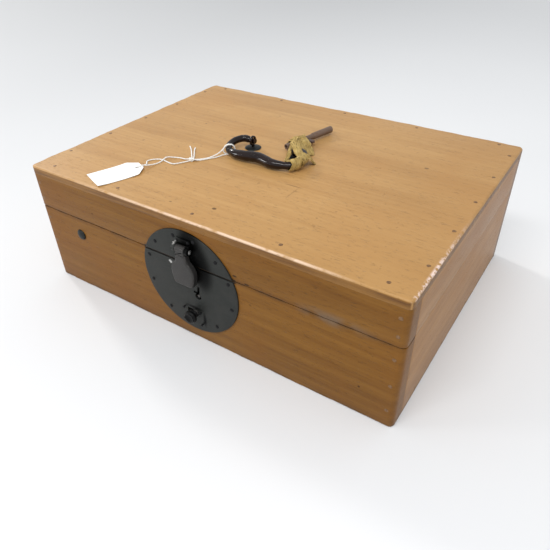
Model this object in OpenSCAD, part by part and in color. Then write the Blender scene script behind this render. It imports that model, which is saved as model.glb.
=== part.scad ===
// Wooden money box with a hinged lid, a round two-part lock plate, a hasp and a bail handle.
// Millimetres, +Z up, +X to the right of the front, +Y to the back.
// The origin is the centre of the base, on the surface that the box stands on.

/* [Box] */
// Outer width, left to right
box_w = 400; // [360:1:440]
// Outer depth, front board to back board
box_d = 292; // [270:1:320]
// Outer height with the lid shut
box_h = 131; // [131:1:150]
// Height of the lid, with its top board
lid_h = 44; // [44:1:50]
// Gap that shows as the seam between the lid and the box
seam_gap = 0.6; // [0.4:0.1:1]
// Radius of the worn upright corners
corner_r = 5; // [2:0.5:8]

/* [Boards] */
// Thickness of the top board
top_t = 8; // [7:0.5:10]
// Thickness of the bottom board
base_t = 9; // [7:0.5:12]
// Thickness of the front boards
front_t = 18; // [17:0.5:22]
// Thickness of the back boards
back_t = 14; // [13:0.5:18]
// Thickness of the side boards
side_t = 14; // [12:0.5:18]
// Radius of the wooden pegs
peg_r = 1.8; // [1.5:0.1:2.2]

/* [Lock plate] */
// Distance of the lock's centre line from the middle of the box
lock_x = -1.5; // [-4:0.5:1]
// Height of the round plate's centre
plate_z = 66; // [65:0.5:66.5]
// Radius of the round plate
plate_r = 54; // [53:0.1:54.5]
// Thickness of the plate
plate_t = 1.6; // [1.2:0.1:2]
// Gap between the two parts of the plate
plate_gap = 2; // [1.4:0.2:2.4]

/* [Handle] */
// Distance between the two eyes
eye_gap = 51; // [48:1:56]
// Height of the pivot over the lid
pivot_h = 8; // [8:0.1:8.5]
// Distance from the pivot to the grip
bail_reach = 30; // [28:1:32]
// Radius of the grip in its middle
grip_r = 5.2; // [4.6:0.1:5.6]

/* [Hidden] */

$fn = 48;
eps = 0.01;
hole_gap = 0.03;      // radial room of a peg or nail in its hole
front_y = -box_d / 2; // outer face of the front boards
back_y = box_d / 2;   // outer face of the back boards
side_x = box_w / 2;   // outer face of a side board
seam_z = box_h - lid_h;
rim_z = seam_z - seam_gap / 2;  // top of the box's walls
lid_z = seam_z + seam_gap / 2;  // bottom of the lid's walls
board_z = box_h - top_t;        // top of the lid's walls, where the top board lies

wood = "#B98F5C";
wood_end = "#8E6637";
iron = "#4A4C4A";
dark_iron = "#2E2A2E";
cloth = "#B0A06A";

// ---------------------------------------------------------------- boards

// Plan of the box with its rounded corners
module box_plan() {
    r = corner_r;
    translate([-side_x + r, front_y]) square([box_w - 2 * r, box_d]);
    translate([-side_x, front_y + r]) square([box_w, box_d - 2 * r]);
    for (x = [-1, 1], y = [-1, 1])
        translate([x * (side_x - r), y * (box_d / 2 - r)]) circle(r);
}

// Part of the box's plan between two pairs of upright planes, from z0 to z1
module board(x0, x1, y0, y1, z0, z1) {
    translate([0, 0, z0]) linear_extrude(z1 - z0) intersection() {
        box_plan();
        translate([x0, y0]) square([x1 - x0, y1 - y0]);
    }
}

inner_x = side_x - side_t;
inner_front = front_y + front_t;
inner_back = back_y - back_t;

module front_wall(z0, z1) board(-side_x - 1, side_x + 1, front_y - 1, inner_front, z0, z1);
module back_wall(z0, z1) board(-side_x - 1, side_x + 1, inner_back, back_y + 1, z0, z1);
module side_wall(s, z0, z1) {
    translate([s > 0 ? inner_x : -side_x, inner_front, z0])
        cube([side_t, inner_back - inner_front, z1 - z0]);
}

// A peg along +Y or -Y that starts on the face y, and goes dir * len into the wood
module peg_y(x, y, z, dir, len, r) {
    translate([x, y, z]) rotate([-90 * dir, 0, 0]) cylinder(h = len, r = r);
}
module peg_z(x, y, z, len, r) {
    translate([x, y, z - len]) cylinder(h = len, r = r);
}

// Pegs through the front and back boards into the ends of the side boards
box_peg_z = [18.5, 46, 74];
lid_peg_z = [97, 114];
module corner_pegs(heights, r, grow) {
    for (x = [-1, 1], z = heights) {
        peg_y(x * (side_x - side_t / 2), front_y - grow, z, 1, front_t + 12 + grow, r);
        peg_y(x * (side_x - side_t / 2), back_y + grow, z, -1, back_t + 10 + grow, r);
    }
}

// Pegs through the top board: five along the front and back, five along each side
top_peg_x = [for (i = [-2:2]) i * 88.5];
top_peg_y = [for (i = [0:4]) front_y + 44.5 + i * 54.5];
top_peg_len = 22;
module edge_pegs(r, grow) {
    for (x = top_peg_x) {
        peg_z(x, front_y + 11.5, box_h + grow, top_peg_len + grow, r);
        peg_z(x, back_y - back_t / 2, box_h + grow, top_peg_len + grow, r);
    }
    for (s = [-1, 1], y = top_peg_y)
        peg_z(s * (side_x - side_t / 2), y, box_h + grow, top_peg_len + grow, r);
}

// Pegs through the side boards into the edges of the bottom board
base_peg_y = [-100, -35, 35, 100];
module bottom_pegs(r, grow) {
    for (s = [-1, 1], y = base_peg_y)
        translate([s * (side_x + grow), y, base_t / 2])
            rotate([0, -90 * s, 0]) cylinder(h = side_t + 12 + grow, r = r);
}

module base_board() color(wood) difference() {
    translate([-inner_x, inner_front, 0]) cube([2 * inner_x, inner_back - inner_front, base_t]);
    bottom_pegs(peg_r + hole_gap, 1);
}
module base_pegs() color(wood_end) bottom_pegs(peg_r, 0);

module box_front() color(wood) difference() {
    front_wall(0, rim_z);
    corner_pegs(box_peg_z, peg_r + hole_gap, 1);
    lock_recess();
    plate_nails(lower_angles, nail_r + hole_gap, 1);
    knob_rivet_shanks(rivet_r + hole_gap, 1);
    stud_shank(stud_shank_r + hole_gap, 1);
}
module box_back() color(wood) difference() {
    chamfered_back(0, rim_z, -1);
    corner_pegs(box_peg_z, peg_r + hole_gap, 1);
    hinge_recesses(-1);
}
module box_side(s) color(wood) difference() {
    side_wall(s, 0, rim_z);
    corner_pegs(box_peg_z, peg_r + hole_gap, 1);
    bottom_pegs(peg_r + hole_gap, 1);
}
module box_left() box_side(-1);
module box_right() box_side(1);
module box_pegs() color(wood_end) corner_pegs(box_peg_z, peg_r, 0);

module top_board() color(wood) difference() {
    board(-side_x - 1, side_x + 1, front_y - 1, back_y + 1, board_z, box_h);
    edge_pegs(peg_r + hole_gap, 1);
    for (s = [-1, 1]) translate([handle_x + s * eye_gap / 2, handle_y, board_z - 1])
        cylinder(h = top_t + 2, r = eye_hole_r);
}
module top_pegs() color(wood_end) edge_pegs(peg_r, 0);

module lid_front() color(wood) difference() {
    front_wall(lid_z, board_z);
    corner_pegs(lid_peg_z, peg_r + hole_gap, 1);
    edge_pegs(peg_r + hole_gap, 1);
    plate_nails(upper_angles, nail_r + hole_gap, 1);
}
module lid_back() color(wood) difference() {
    chamfered_back(lid_z, board_z, 1);
    corner_pegs(lid_peg_z, peg_r + hole_gap, 1);
    edge_pegs(peg_r + hole_gap, 1);
    hinge_recesses(1);
}
module lid_side(s) color(wood) difference() {
    side_wall(s, lid_z, board_z);
    corner_pegs(lid_peg_z, peg_r + hole_gap, 1);
    edge_pegs(peg_r + hole_gap, 1);
}
module lid_left() lid_side(-1);
module lid_right() lid_side(1);
module lid_pegs() color(wood_end) corner_pegs(lid_peg_z, peg_r, 0);

// ---------------------------------------------------------------- back hinges

// The pin lies in the seam, a little inside the back face. The two boards are chamfered away from
// it, and the chamfers meet and stop the lid just past upright.
hinge_inset = 3;
hinge_y = back_y - hinge_inset;
chamfer_angle = 52;
chamfer_z = hinge_inset * tan(chamfer_angle);
hinge_xs = [-120, 120];
hinge_len = 40;
knuckle_r = 2.6;
hinge_pin_r = 1.2;
hinge_bore_r = hinge_pin_r + 0.05;
leaf_t = 1;
leaf_depth = 7.5;
end_knuckle = 11;   // length of each outer knuckle, which belongs to the lower leaf
knuckle_gap = 0.3;
hinge_nail_r = 0.9;
hinge_nail_len = 10;
hinge_nail_x = [-13, 13];
hinge_nail_y = hinge_y - 6.5;

// The back board of the box (up = -1) or of the lid (up = 1), with its chamfered edge at the seam
module chamfered_back(z0, z1, up) {
    edge = up > 0 ? z0 : z1;
    difference() {
        back_wall(z0, z1);
        translate([-side_x - 1, 0, 0]) rotate([90, 0, 90]) linear_extrude(box_w + 2) polygon([
            [hinge_y + abs(edge - seam_z) / tan(chamfer_angle) - 0.15, edge - up * eps],
            [back_y + eps, edge - up * eps],
            [back_y + eps, seam_z + up * (chamfer_z + 0.15)]
        ]);
    }
}

// Room for the knuckles and one leaf of each hinge, cut in the edge of a back board
module hinge_recesses(up) {
    for (hx = hinge_xs) translate([hx - hinge_len / 2 - 0.4, 0, 0]) {
        translate([0, hinge_y, seam_z]) rotate([0, 90, 0]) cylinder(h = hinge_len + 0.8, r = knuckle_r + 0.4);
        translate([0, hinge_y - leaf_depth - 3.1, up > 0 ? lid_z - 1 : rim_z - leaf_t])
            cube([hinge_len + 0.8, leaf_depth + 3.1, leaf_t + 1]);
    }
    hinge_nails(up, hinge_nail_r + hole_gap, 1);
}

module hinge_nails(up, r, grow) {
    for (hx = hinge_xs, nx = hinge_nail_x)
        translate([hx + nx, hinge_nail_y, up > 0 ? lid_z - grow : rim_z + grow - hinge_nail_len - grow])
            cylinder(h = hinge_nail_len + grow, r = r);
}

// A leaf with its own knuckles. The lower leaf has the two outer knuckles, the upper the middle one
module hinge_leaf(up) {
    mid = hinge_len - 2 * end_knuckle - 2 * knuckle_gap;
    spans = up > 0 ? [[-mid / 2, mid / 2]]
                   : [[-hinge_len / 2, -hinge_len / 2 + end_knuckle], [hinge_len / 2 - end_knuckle, hinge_len / 2]];
    z0 = up > 0 ? lid_z : rim_z - leaf_t;
    difference() {
        union() {
            translate([-hinge_len / 2, hinge_y - 3.1 - leaf_depth, z0]) cube([hinge_len, leaf_depth, leaf_t]);
            for (s = spans) translate([s[0], 0, 0]) {
                translate([0, hinge_y - 3.2, z0]) cube([s[1] - s[0], 3.2, leaf_t]);
                translate([0, hinge_y, seam_z]) rotate([0, 90, 0]) cylinder(h = s[1] - s[0], r = knuckle_r);
            }
        }
        translate([-hinge_len / 2 - 1, hinge_y, seam_z]) rotate([0, 90, 0])
            cylinder(h = hinge_len + 2, r = hinge_bore_r);
        for (nx = hinge_nail_x) translate([nx, hinge_nail_y, z0 - 1])
            cylinder(h = leaf_t + 2, r = hinge_nail_r + hole_gap);
    }
}

module hinge_lower_leaves() color(iron) for (hx = hinge_xs) translate([hx, 0, 0]) hinge_leaf(-1);
module hinge_upper_leaves() color(iron) for (hx = hinge_xs) translate([hx, 0, 0]) hinge_leaf(1);
module hinge_lower_nails() color(iron) hinge_nails(-1, hinge_nail_r, 0);
module hinge_upper_nails() color(iron) hinge_nails(1, hinge_nail_r, 0);
module hinge_pins() color(iron) for (hx = hinge_xs)
    translate([hx - hinge_len / 2, hinge_y, seam_z]) rotate([0, 90, 0])
        cylinder(h = hinge_len, r = hinge_pin_r);

// ---------------------------------------------------------------- round lock plate

plate_y = front_y - plate_t;  // outer face of the plate
nail_ring = 48;
nail_r = 1;
nail_len = 9;
nail_head_r = 1.9;
nail_head_t = 0.8;
upper_angles = [46, 77, 104, 137];
lower_angles = [20, -13, -55, -126, -164, 162];

module disc(r, t, y0) translate([lock_x, y0, plate_z]) rotate([90, 0, 0]) cylinder(h = t, r = r, $fn = 96);

// Shanks of the plate's nails, from just outside the plate into the wood
module plate_nails(angles, r, grow) {
    for (a = angles) translate([lock_x + nail_ring * cos(a), plate_y - grow, plate_z + nail_ring * sin(a)])
        rotate([-90, 0, 0]) cylinder(h = nail_len + grow, r = r);
}
module nail_heads(angles) {
    for (a = angles) translate([lock_x + nail_ring * cos(a), plate_y, plate_z + nail_ring * sin(a)])
        rotate([90, 0, 0]) rotate_extrude() polygon([
            [0, 0], [nail_head_r, 0], [nail_head_r * 0.75, nail_head_t * 0.75], [0, nail_head_t]]);
}

module plate_upper() color(iron) difference() {
    intersection() {
        disc(plate_r, plate_t, front_y);
        translate([lock_x - plate_r - 1, plate_y - 1, seam_z + plate_gap / 2])
            cube([2 * plate_r + 2, plate_t + 2, plate_r]);
    }
    plate_nails(upper_angles, nail_r + hole_gap, 1);
    hasp_leaf_shanks(rivet_r + hole_gap, 1);
}
module plate_upper_nails() color(dark_iron) {
    plate_nails(upper_angles, nail_r, 0);
    nail_heads(upper_angles);
}

key_x = lock_x + 8.8;
key_z = 54;
key_hole_r = 3.4;

module keyhole() {
    translate([key_x, plate_y - 1, key_z]) rotate([-90, 0, 0]) cylinder(h = plate_t + 2, r = key_hole_r);
    translate([key_x - 1.5, plate_y - 1, key_z]) cube([3, plate_t + 2, 11.7]);
    translate([key_x - 4.6, plate_y - 1, key_z + 3]) cube([4.6, plate_t + 2, 2]);
}

staple_slot_w = 5;
staple_slot_z = 69;

module plate_lower() color(iron) difference() {
    intersection() {
        disc(plate_r, plate_t, front_y);
        translate([lock_x - plate_r - 1, plate_y - 1, 0])
            cube([2 * plate_r + 2, plate_t + 2, seam_z - plate_gap / 2]);
    }
    plate_nails(lower_angles, nail_r + hole_gap, 1);
    keyhole();
    translate([lock_x - staple_slot_w / 2, plate_y - 1, staple_slot_z])
        cube([staple_slot_w, plate_t + 2, seam_z]);
    knob_slot(plate_y - 1, plate_t + 2);
    knob_rivet_shanks(rivet_r + hole_gap, 1);
}
module plate_lower_nails() color(dark_iron) {
    plate_nails(lower_angles, nail_r, 0);
    nail_heads(lower_angles);
}

// Round iron stud at the left of the front
stud_x = -145.5;
stud_z = 68;
stud_r = 5.6;
stud_shank_r = 2;
module stud_shank(r, grow) translate([stud_x, front_y - grow, stud_z]) rotate([-90, 0, 0])
    cylinder(h = 13 + grow, r = r);
module front_stud() color(iron) {
    stud_shank(stud_shank_r, 0);
    translate([stud_x, front_y, stud_z]) rotate([90, 0, 0]) rotate_extrude() polygon([
        [0, 0], [stud_r, 0], [stud_r * 0.93, 1], [stud_r * 0.68, 1.9], [stud_r * 0.36, 2.4], [0, 2.5]]);
}

// ---------------------------------------------------------------- lock works

recess_half_w = 30;
recess_z0 = 27.5;
recess_z1 = 82;
recess_depth = 11;

// The pocket behind the lower plate, and the notch above it that lets the staple rise
module lock_recess() {
    translate([lock_x - recess_half_w, front_y - 1, recess_z0])
        cube([2 * recess_half_w, recess_depth + 1, recess_z1 - recess_z0]);
    translate([lock_x - staple_slot_w / 2, front_y - 1, recess_z1 - 1])
        cube([staple_slot_w, 9.5, rim_z - recess_z1 + 2]);
}

bolt_y = front_y + 0.8;     // front face of the bolt's plate
bolt_t = 3;
bolt_travel = 7;
knob_x = lock_x + bolt_travel / 2;  // the knob's place with the bolt drawn back
knob_z = 33;
stem_r = 2.5;
knob_stem_len = 11.4;
knob_plate_t = 2;
bar_z0 = 30.2;
bar_z1 = 35.6;
finger_z0 = 75.6;
finger_z1 = 79.4;
web_x0 = lock_x + 21;
web_x1 = lock_x + 27;
guide_gap = 0.15;

// The bolt: a bar with the knob's stem, an upright web, and the finger that enters the staple
module bolt() color(iron) {
    difference() {
        translate([0, bolt_y + bolt_t, 0]) rotate([90, 0, 0]) linear_extrude(bolt_t) polygon([
            [knob_x - 5, bar_z0], [web_x1, bar_z0], [web_x1, finger_z1],
            [lock_x + 2.2, finger_z1], [lock_x + 2.2, finger_z0], [web_x0, finger_z0],
            [web_x0, bar_z1], [knob_x - 5, bar_z1]]);
        translate([web_x0 - 1, bolt_y - 1, key_z - 5]) cube([2.5, bolt_t + 2, 8]);
    }
    translate([knob_x, bolt_y + bolt_t, knob_z]) rotate([90, 0, 0])
        cylinder(h = bolt_t + knob_stem_len, r = stem_r);
}

knob_y = plate_y - knob_plate_t - 0.4;  // back of the knob
knob_r = 6.6;
knob_t = 8;

// Turned knob with a shallow dish in its face, riveted on the stem
module bolt_knob() color(dark_iron) translate([knob_x, knob_y, knob_z]) rotate([90, 0, 0])
    rotate_extrude() polygon([
        [stem_r, 0], [4.4, 0], [3.8, 2.4], [5.6, 3.2], [knob_r, 4.6], [knob_r, 6], [5.7, 7.4],
        [4.6, knob_t], [3.6, 7.2], [stem_r, 6.6]]);

module knob_slot(y0, t) {
    for (dx = [0, -bolt_travel]) translate([knob_x + dx, y0, knob_z])
        rotate([-90, 0, 0]) cylinder(h = t, r = stem_r + 0.3);
    translate([knob_x - bolt_travel, y0, knob_z - stem_r - 0.3]) cube([bolt_travel, t, 2 * stem_r + 0.6]);
}

rivet_r = 0.8;
// The upper two are short rivets over the lock's pocket, the lower two are nails into the wood
knob_rivets = [[-9.6, 35.3, 0], [9.6, 35.3, 0], [-10.4, 21.6, 7], [10.4, 21.6, 7]];
module knob_rivet_shanks(r, grow) {
    for (p = knob_rivets) translate([lock_x + p[0], plate_y - knob_plate_t - grow, p[1]])
        rotate([-90, 0, 0]) cylinder(h = knob_plate_t + plate_t + p[2] + grow, r = r);
}

// Raised plate under the knob, wider at its foot
module knob_plate() color(iron) difference() {
    translate([lock_x, plate_y, 0]) rotate([90, 0, 0]) linear_extrude(knob_plate_t) polygon([
        [-12.6, 19.5], [12.6, 19.5], [13.2, 20.4], [12, 36.6], [11, 37.6], [-11, 37.6], [-12, 36.6], [-13.2, 20.4]]);
    knob_slot(plate_y - knob_plate_t - 1, knob_plate_t + 2);
    knob_rivet_shanks(rivet_r + hole_gap, 1);
}
module knob_plate_rivets() color(dark_iron) {
    knob_rivet_shanks(rivet_r, 0);
    for (p = knob_rivets) translate([lock_x + p[0], plate_y - knob_plate_t, p[1]])
        rotate([90, 0, 0]) cylinder(h = 0.5, r1 = 1.3, r2 = 0.8);
}

back_plate_y = front_y + recess_depth - 1.2;
post_xz = [[-26, 32], [-26, 77], [-26, 54], [8.8, 42]];

module lock_back_plate() color(iron) difference() {
    translate([lock_x - recess_half_w + 0.4, back_plate_y, recess_z0 + 0.4])
        cube([2 * recess_half_w - 0.8, 1.2, recess_z1 - recess_z0 - 0.8]);
    for (p = post_xz) translate([lock_x + p[0], back_plate_y - 1, p[1]])
        rotate([-90, 0, 0]) cylinder(h = 3, r = 1.2 + hole_gap);
    translate([key_x, back_plate_y - 1, key_z]) rotate([-90, 0, 0]) cylinder(h = 3, r = 1.2 + hole_gap);
}
// Spacer posts between the round plate and the lock's back plate
module lock_posts() color(iron) for (p = post_xz) {
    translate([lock_x + p[0], front_y, p[1]]) rotate([-90, 0, 0]) cylinder(h = back_plate_y - front_y, r = 2);
    translate([lock_x + p[0], back_plate_y, p[1]]) rotate([-90, 0, 0]) cylinder(h = 1.2, r = 1.2);
}
// The pin that the pipe of the key slides over
module key_post() color(iron) {
    translate([key_x, front_y - 0.6, key_z]) rotate([-90, 0, 0])
        cylinder(h = back_plate_y - front_y + 0.6, r = 1.5);
    translate([key_x, back_plate_y, key_z]) rotate([-90, 0, 0]) cylinder(h = 1.2, r = 1.2);
}
// One rail under the bolt's bar and one over its finger
module bolt_guides() color(iron) {
    translate([lock_x - 12, front_y, bar_z0 - guide_gap - 1.6]) cube([41, 4.4, 1.6]);
    translate([lock_x + 3.2, front_y, finger_z1 + guide_gap]) cube([25.8, 4.4, 1.6]);
}
// Bowed leaf spring that rubs on the back of the bolt's bar
module bolt_spring() color(iron) {
    half = 18;
    bow = back_plate_y - bolt_y - bolt_t - 0.3;
    bow_r = (half * half + bow * bow) / (2 * bow);
    translate([lock_x + 8, back_plate_y - bow + bow_r, bar_z0 + 0.3]) linear_extrude(4) intersection() {
        difference() {
            circle(bow_r, $fn = 120);
            circle(bow_r - 0.6, $fn = 120);
        }
        translate([-half, -bow_r - 1]) square([2 * half, bow + 1]);
    }
}

// ---------------------------------------------------------------- hasp

hasp_z = 104.5;               // height of the hasp's pin
hasp_y = plate_y - 4;         // the pin's distance from the plate
hasp_knuckle_r = 3.6;
hasp_pin_r = 1.6;
hasp_bore_r = hasp_pin_r + 0.05;
hasp_face = front_y - 9.2;    // the hasp's front face
hasp_back = plate_y - 0.6;    // its back, just clear of the plate
mid_half = 5;                 // half length of the hasp's own knuckle
side_knuckle = 3.8;
leaf_top = 113;
rivet_x = [-6, 6];
rivet_z = 110.9;

module hasp_leaf_shanks(r, grow) {
    for (dx = rivet_x) translate([lock_x + dx, plate_y - 1.4 - grow, rivet_z])
        rotate([-90, 0, 0]) cylinder(h = 1.4 + plate_t + grow, r = r);
}

// Fixed leaf of the hasp's hinge, with its two knuckles
module hasp_leaf() color(iron) difference() {
    union() {
        translate([lock_x - 8.4, plate_y - 1.4, hasp_z + 4.1]) cube([16.8, 1.4, leaf_top - hasp_z - 4.1]);
        for (s = [-1, 1]) translate([lock_x + s * (mid_half + 0.25 + side_knuckle / 2) - side_knuckle / 2, 0, 0]) {
            translate([0, plate_y - 1.4, hasp_z - 3]) cube([side_knuckle, 1.4, 7.3]);
            translate([0, hasp_y, hasp_z - 1.5]) cube([side_knuckle, plate_y - hasp_y, 3]);
            translate([0, hasp_y, hasp_z]) rotate([0, 90, 0]) cylinder(h = side_knuckle, r = hasp_knuckle_r);
        }
    }
    translate([lock_x - 20, hasp_y, hasp_z]) rotate([0, 90, 0]) cylinder(h = 40, r = hasp_bore_r);
    hasp_leaf_shanks(rivet_r + hole_gap, 1);
}
module hasp_leaf_rivets() color(dark_iron) {
    hasp_leaf_shanks(rivet_r, 0);
    for (dx = rivet_x) translate([lock_x + dx, plate_y - 1.4, rivet_z])
        rotate([90, 0, 0]) cylinder(h = 0.6, r1 = 1.5, r2 = 0.9);
}
module hasp_pin() color("#8C8C88") {
    half = mid_half + side_knuckle + 0.9;
    translate([lock_x - half, hasp_y, hasp_z]) rotate([0, 90, 0]) cylinder(h = 2 * half, r = hasp_pin_r);
    for (s = [-1, 1]) translate([lock_x + s * (half + 0.4) - 0.5, hasp_y, hasp_z])
        rotate([0, 90, 0]) cylinder(h = 1, r = 2.1);
}

lobe_z = 80.5;
lobe_r = 12.9;
lobe_bottom = 67.5;

// Outline of the hasp below its knuckle: a neck, and a lobe with round shoulders
module hasp_outline() {
    translate([-6.3, lobe_z + 8]) square([12.6, hasp_z - 4.4 - lobe_z - 8]);
    translate([0, lobe_z]) circle(lobe_r, $fn = 96);
    polygon([[-lobe_r, lobe_z], [lobe_r, lobe_z], [11.6, lobe_bottom + 2.4], [9.2, lobe_bottom],
             [-9.2, lobe_bottom], [-11.6, lobe_bottom + 2.4]]);
}

module hasp() color(iron) difference() {
    union() {
        intersection() {
            translate([lock_x, hasp_back, 0]) rotate([90, 0, 0]) linear_extrude(hasp_back - hasp_face) hasp_outline();
            translate([lock_x - 20, hasp_face - 1, lobe_bottom - 1]) cube([40, 20, hasp_z]);
        }
        translate([lock_x - mid_half, hasp_face, hasp_z - 5]) cube([2 * mid_half, 3.4, 5]);
        translate([lock_x - mid_half, hasp_y, hasp_z]) rotate([0, 90, 0])
            cylinder(h = 2 * mid_half, r = hasp_knuckle_r);
    }
    translate([lock_x - 20, hasp_y, hasp_z]) rotate([0, 90, 0]) cylinder(h = 40, r = hasp_bore_r);
    // the neck is thinner than the lobe
    translate([lock_x - 7, hasp_back - 2.2, lobe_z + 13.4]) cube([14, 4, 6.3]);
    staple_legs(staple_r + hole_gap);
}

staple_r = 1.5;
staple_z = [73.5, 81.5];
staple_back = front_y + 6;    // centre line of the staple's back bar
staple_front = hasp_face + 3;

module staple_legs(r) {
    for (z = staple_z) translate([lock_x, staple_front, z]) rotate([-90, 0, 0])
        cylinder(h = staple_back - staple_front, r = r);
}
// Loop on the back of the hasp that the bolt's finger passes through
module hasp_staple() color(iron) {
    staple_legs(staple_r);
    for (z = staple_z) translate([lock_x, staple_back, z]) sphere(staple_r);
    translate([lock_x, staple_back, staple_z[0]]) cylinder(h = staple_z[1] - staple_z[0], r = staple_r);
}

// ---------------------------------------------------------------- handle

handle_x = -9;
handle_y = 2;
pivot_z = box_h + pivot_h;
end_r = 2.5;                  // radius of the bail's ends, in the eyes
eye_bore_r = end_r + 0.08;
arm_r = 3.3;
bend_r = 10;
bail_half = 40;                 // half the bail's width, to the middle of its arms
droop = asin((pivot_h - grip_r - 0.4) / bail_reach);
washer_t = 1.8;
washer_r = 8.5;
leg_r = 1.9;
eye_hole_r = leg_r + 0.05;

// A quarter of a ring in the XY plane, from angle a0 to a0 + 90
module quarter(R, r, a0) rotate([0, 0, a0]) rotate_extrude(angle = 90) translate([R, 0]) circle(r);

// The bail lies in the XY plane with its pivot on the X axis, and reaches towards -Y
module bail() {
    for (s = [-1, 1]) mirror([s < 0 ? 1 : 0, 0, 0]) {
        translate([eye_gap / 2 - 3.4, 0, 0]) rotate([0, 90, 0]) cylinder(h = 7.4, r = end_r);
        translate([eye_gap / 2 + 3.9, 0, 0]) rotate([0, 90, 0])
            cylinder(h = bail_half - bend_r - eye_gap / 2 - 3.9, r = arm_r);
        translate([bail_half - bend_r, -bend_r, 0]) quarter(bend_r, arm_r, 0);
        translate([bail_half, -bend_r, 0]) rotate([90, 0, 0])
            cylinder(h = bail_reach - 2 * bend_r, r = arm_r);
        translate([bail_half - bend_r, bend_r - bail_reach, 0]) quarter(bend_r, arm_r, -90);
    }
    grip_half = bail_half - bend_r;
    translate([0, -bail_reach, 0]) rotate([0, 90, 0]) rotate_extrude() polygon(concat(
        [[0, -grip_half], [arm_r, -grip_half]],
        [for (i = [1:11]) let (t = i / 6 - 1)
            [arm_r + (grip_r - arm_r) * pow(1 - t * t, 0.7), t * grip_half]],
        [[arm_r, grip_half], [0, grip_half]]));
}

module handle() color(dark_iron) translate([handle_x, handle_y, pivot_z]) rotate([droop, 0, 0]) bail();

module handle_washers() color(iron) for (s = [-1, 1])
    translate([handle_x + s * eye_gap / 2, handle_y, box_h]) rotate_extrude() polygon([
        [eye_hole_r, 0], [washer_r, 0], [washer_r - 0.4, 0.8], [3.6, washer_t], [eye_hole_r, washer_t]]);

// Split pin: an eye over the washer, a shank through the top board, and two legs bent flat under it
module handle_eyes() color(dark_iron) for (s = [-1, 1]) translate([handle_x + s * eye_gap / 2, handle_y, 0]) {
    difference() {
        union() {
            translate([0, 0, pivot_z]) rotate([0, 90, 0]) translate([0, 0, -1.5]) cylinder(h = 3, r = 5.1);
            translate([0, 0, board_z - 1]) cylinder(h = pivot_z - 3.4 - board_z + 1, r = leg_r);
            for (d = [-1, 1]) translate([-leg_r, d > 0 ? 0 : -11, board_z - 1.8]) cube([2 * leg_r, 11, 1.8]);
        }
        translate([-5, 0, pivot_z]) rotate([0, 90, 0]) cylinder(h = 10, r = eye_bore_r);
    }
}

// ---------------------------------------------------------------- key, cloth tie, tag and string

tube_r = 3.5;
key_end = [-0.5, 12, box_h + 5];  // far end of the stem, by the handle
key_turn = 14;                   // the key's direction, from +Y towards +X
stem_len = 38;
key_stem_r = 2.9;
pipe_r = 1.6;
tube_len = 28;

module along_key() translate(key_end) rotate([0, 0, -key_turn]) rotate([-90, 0, 0]) children();

// Stem with a pipe drilled in its far end
module key_stem() color("#5A5048") along_key() difference() {
    cylinder(h = stem_len + 4, r = key_stem_r);
    translate([0, 0, -1]) cylinder(h = 12, r = pipe_r);
}
module key_bit() color("#5A5048") along_key() translate([key_stem_r - 0.4, -1.2, 21]) difference() {
    cube([8.9, 2.4, 9]);
    translate([4, -1, 3.6]) cube([6, 5, 1.8]);
    translate([-2.5, 1.2, -1]) cylinder(h = 11, r = 2.9);
}
// Rolled tube that makes the key's grip, open at its end
module key_handle() color("#5A5048") along_key() translate([0, 0, stem_len]) difference() {
    cylinder(h = tube_len, r = tube_r);
    translate([0, 0, -1]) cylinder(h = 5.05, r = key_stem_r + hole_gap);
    translate([0, 0, 4]) cylinder(h = tube_len, r = tube_r - 0.9);
}

// Cloth strip bunched and knotted round the stem, which it lifts a little off the lid
module tie_knot() color(cloth) along_key() difference() {
    union() {
        translate([0, 0, 7.5]) cylinder(h = 12, r = 4.6);
        translate([1.6, -1, 13]) sphere(5.6);
        translate([8, -0.2, 13]) sphere(4.2);
    }
    translate([0, 0, -1]) cylinder(h = 40, r = key_stem_r + 0.25);
}
// The same strip where it is wound round the handle's right arm
wrap_gap = 0.25;
module tie_wrap() color(cloth) translate([handle_x, handle_y, pivot_z]) rotate([droop, 0, 0])
    translate([bail_half, -bend_r - 0.2, 0]) rotate([90, 0, 0]) difference() {
        cylinder(h = bail_reach - 2 * bend_r - 0.4, r = arm_r + 1.9);
        translate([0, 0, -1]) cylinder(h = 30, r = arm_r + wrap_gap);
    }

tag_mid = [-110.4, -114.4, box_h + 0.3];
tag_turn = 21.6;
tag_w = 31;
tag_len = 49;
tag_t = 0.5;

module tag() color("#F4F4F0") translate(tag_mid) rotate([0, 0, -tag_turn]) linear_extrude(tag_t) difference() {
    polygon([[-tag_w / 2, -tag_len / 2], [tag_w / 2, -tag_len / 2], [tag_w / 2, tag_len / 2 - 9],
             [6, tag_len / 2], [-6, tag_len / 2], [-tag_w / 2, tag_len / 2 - 9]]);
    translate([1, tag_len / 2 - 5]) circle(2);
}

string_r = 0.6;
string_z = box_h + 1;
// Route of the string, from beside the grip to the tag's hole
string_route = [
    [-51, -31, box_h + 4.5], [-52.5, -36, box_h + 2.4], [-55.5, -42, string_z], [-60.5, -48, string_z],
    [-67, -55, string_z], [-73, -59, string_z], [-80, -61, string_z], [-86, -62, string_z],
    [-91, -68, string_z], [-93, -76, string_z], [-96, -84, string_z], [-99.5, -90.5, box_h + 2],
    [-102.3, -96.6, box_h + 1.9]
];

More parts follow.
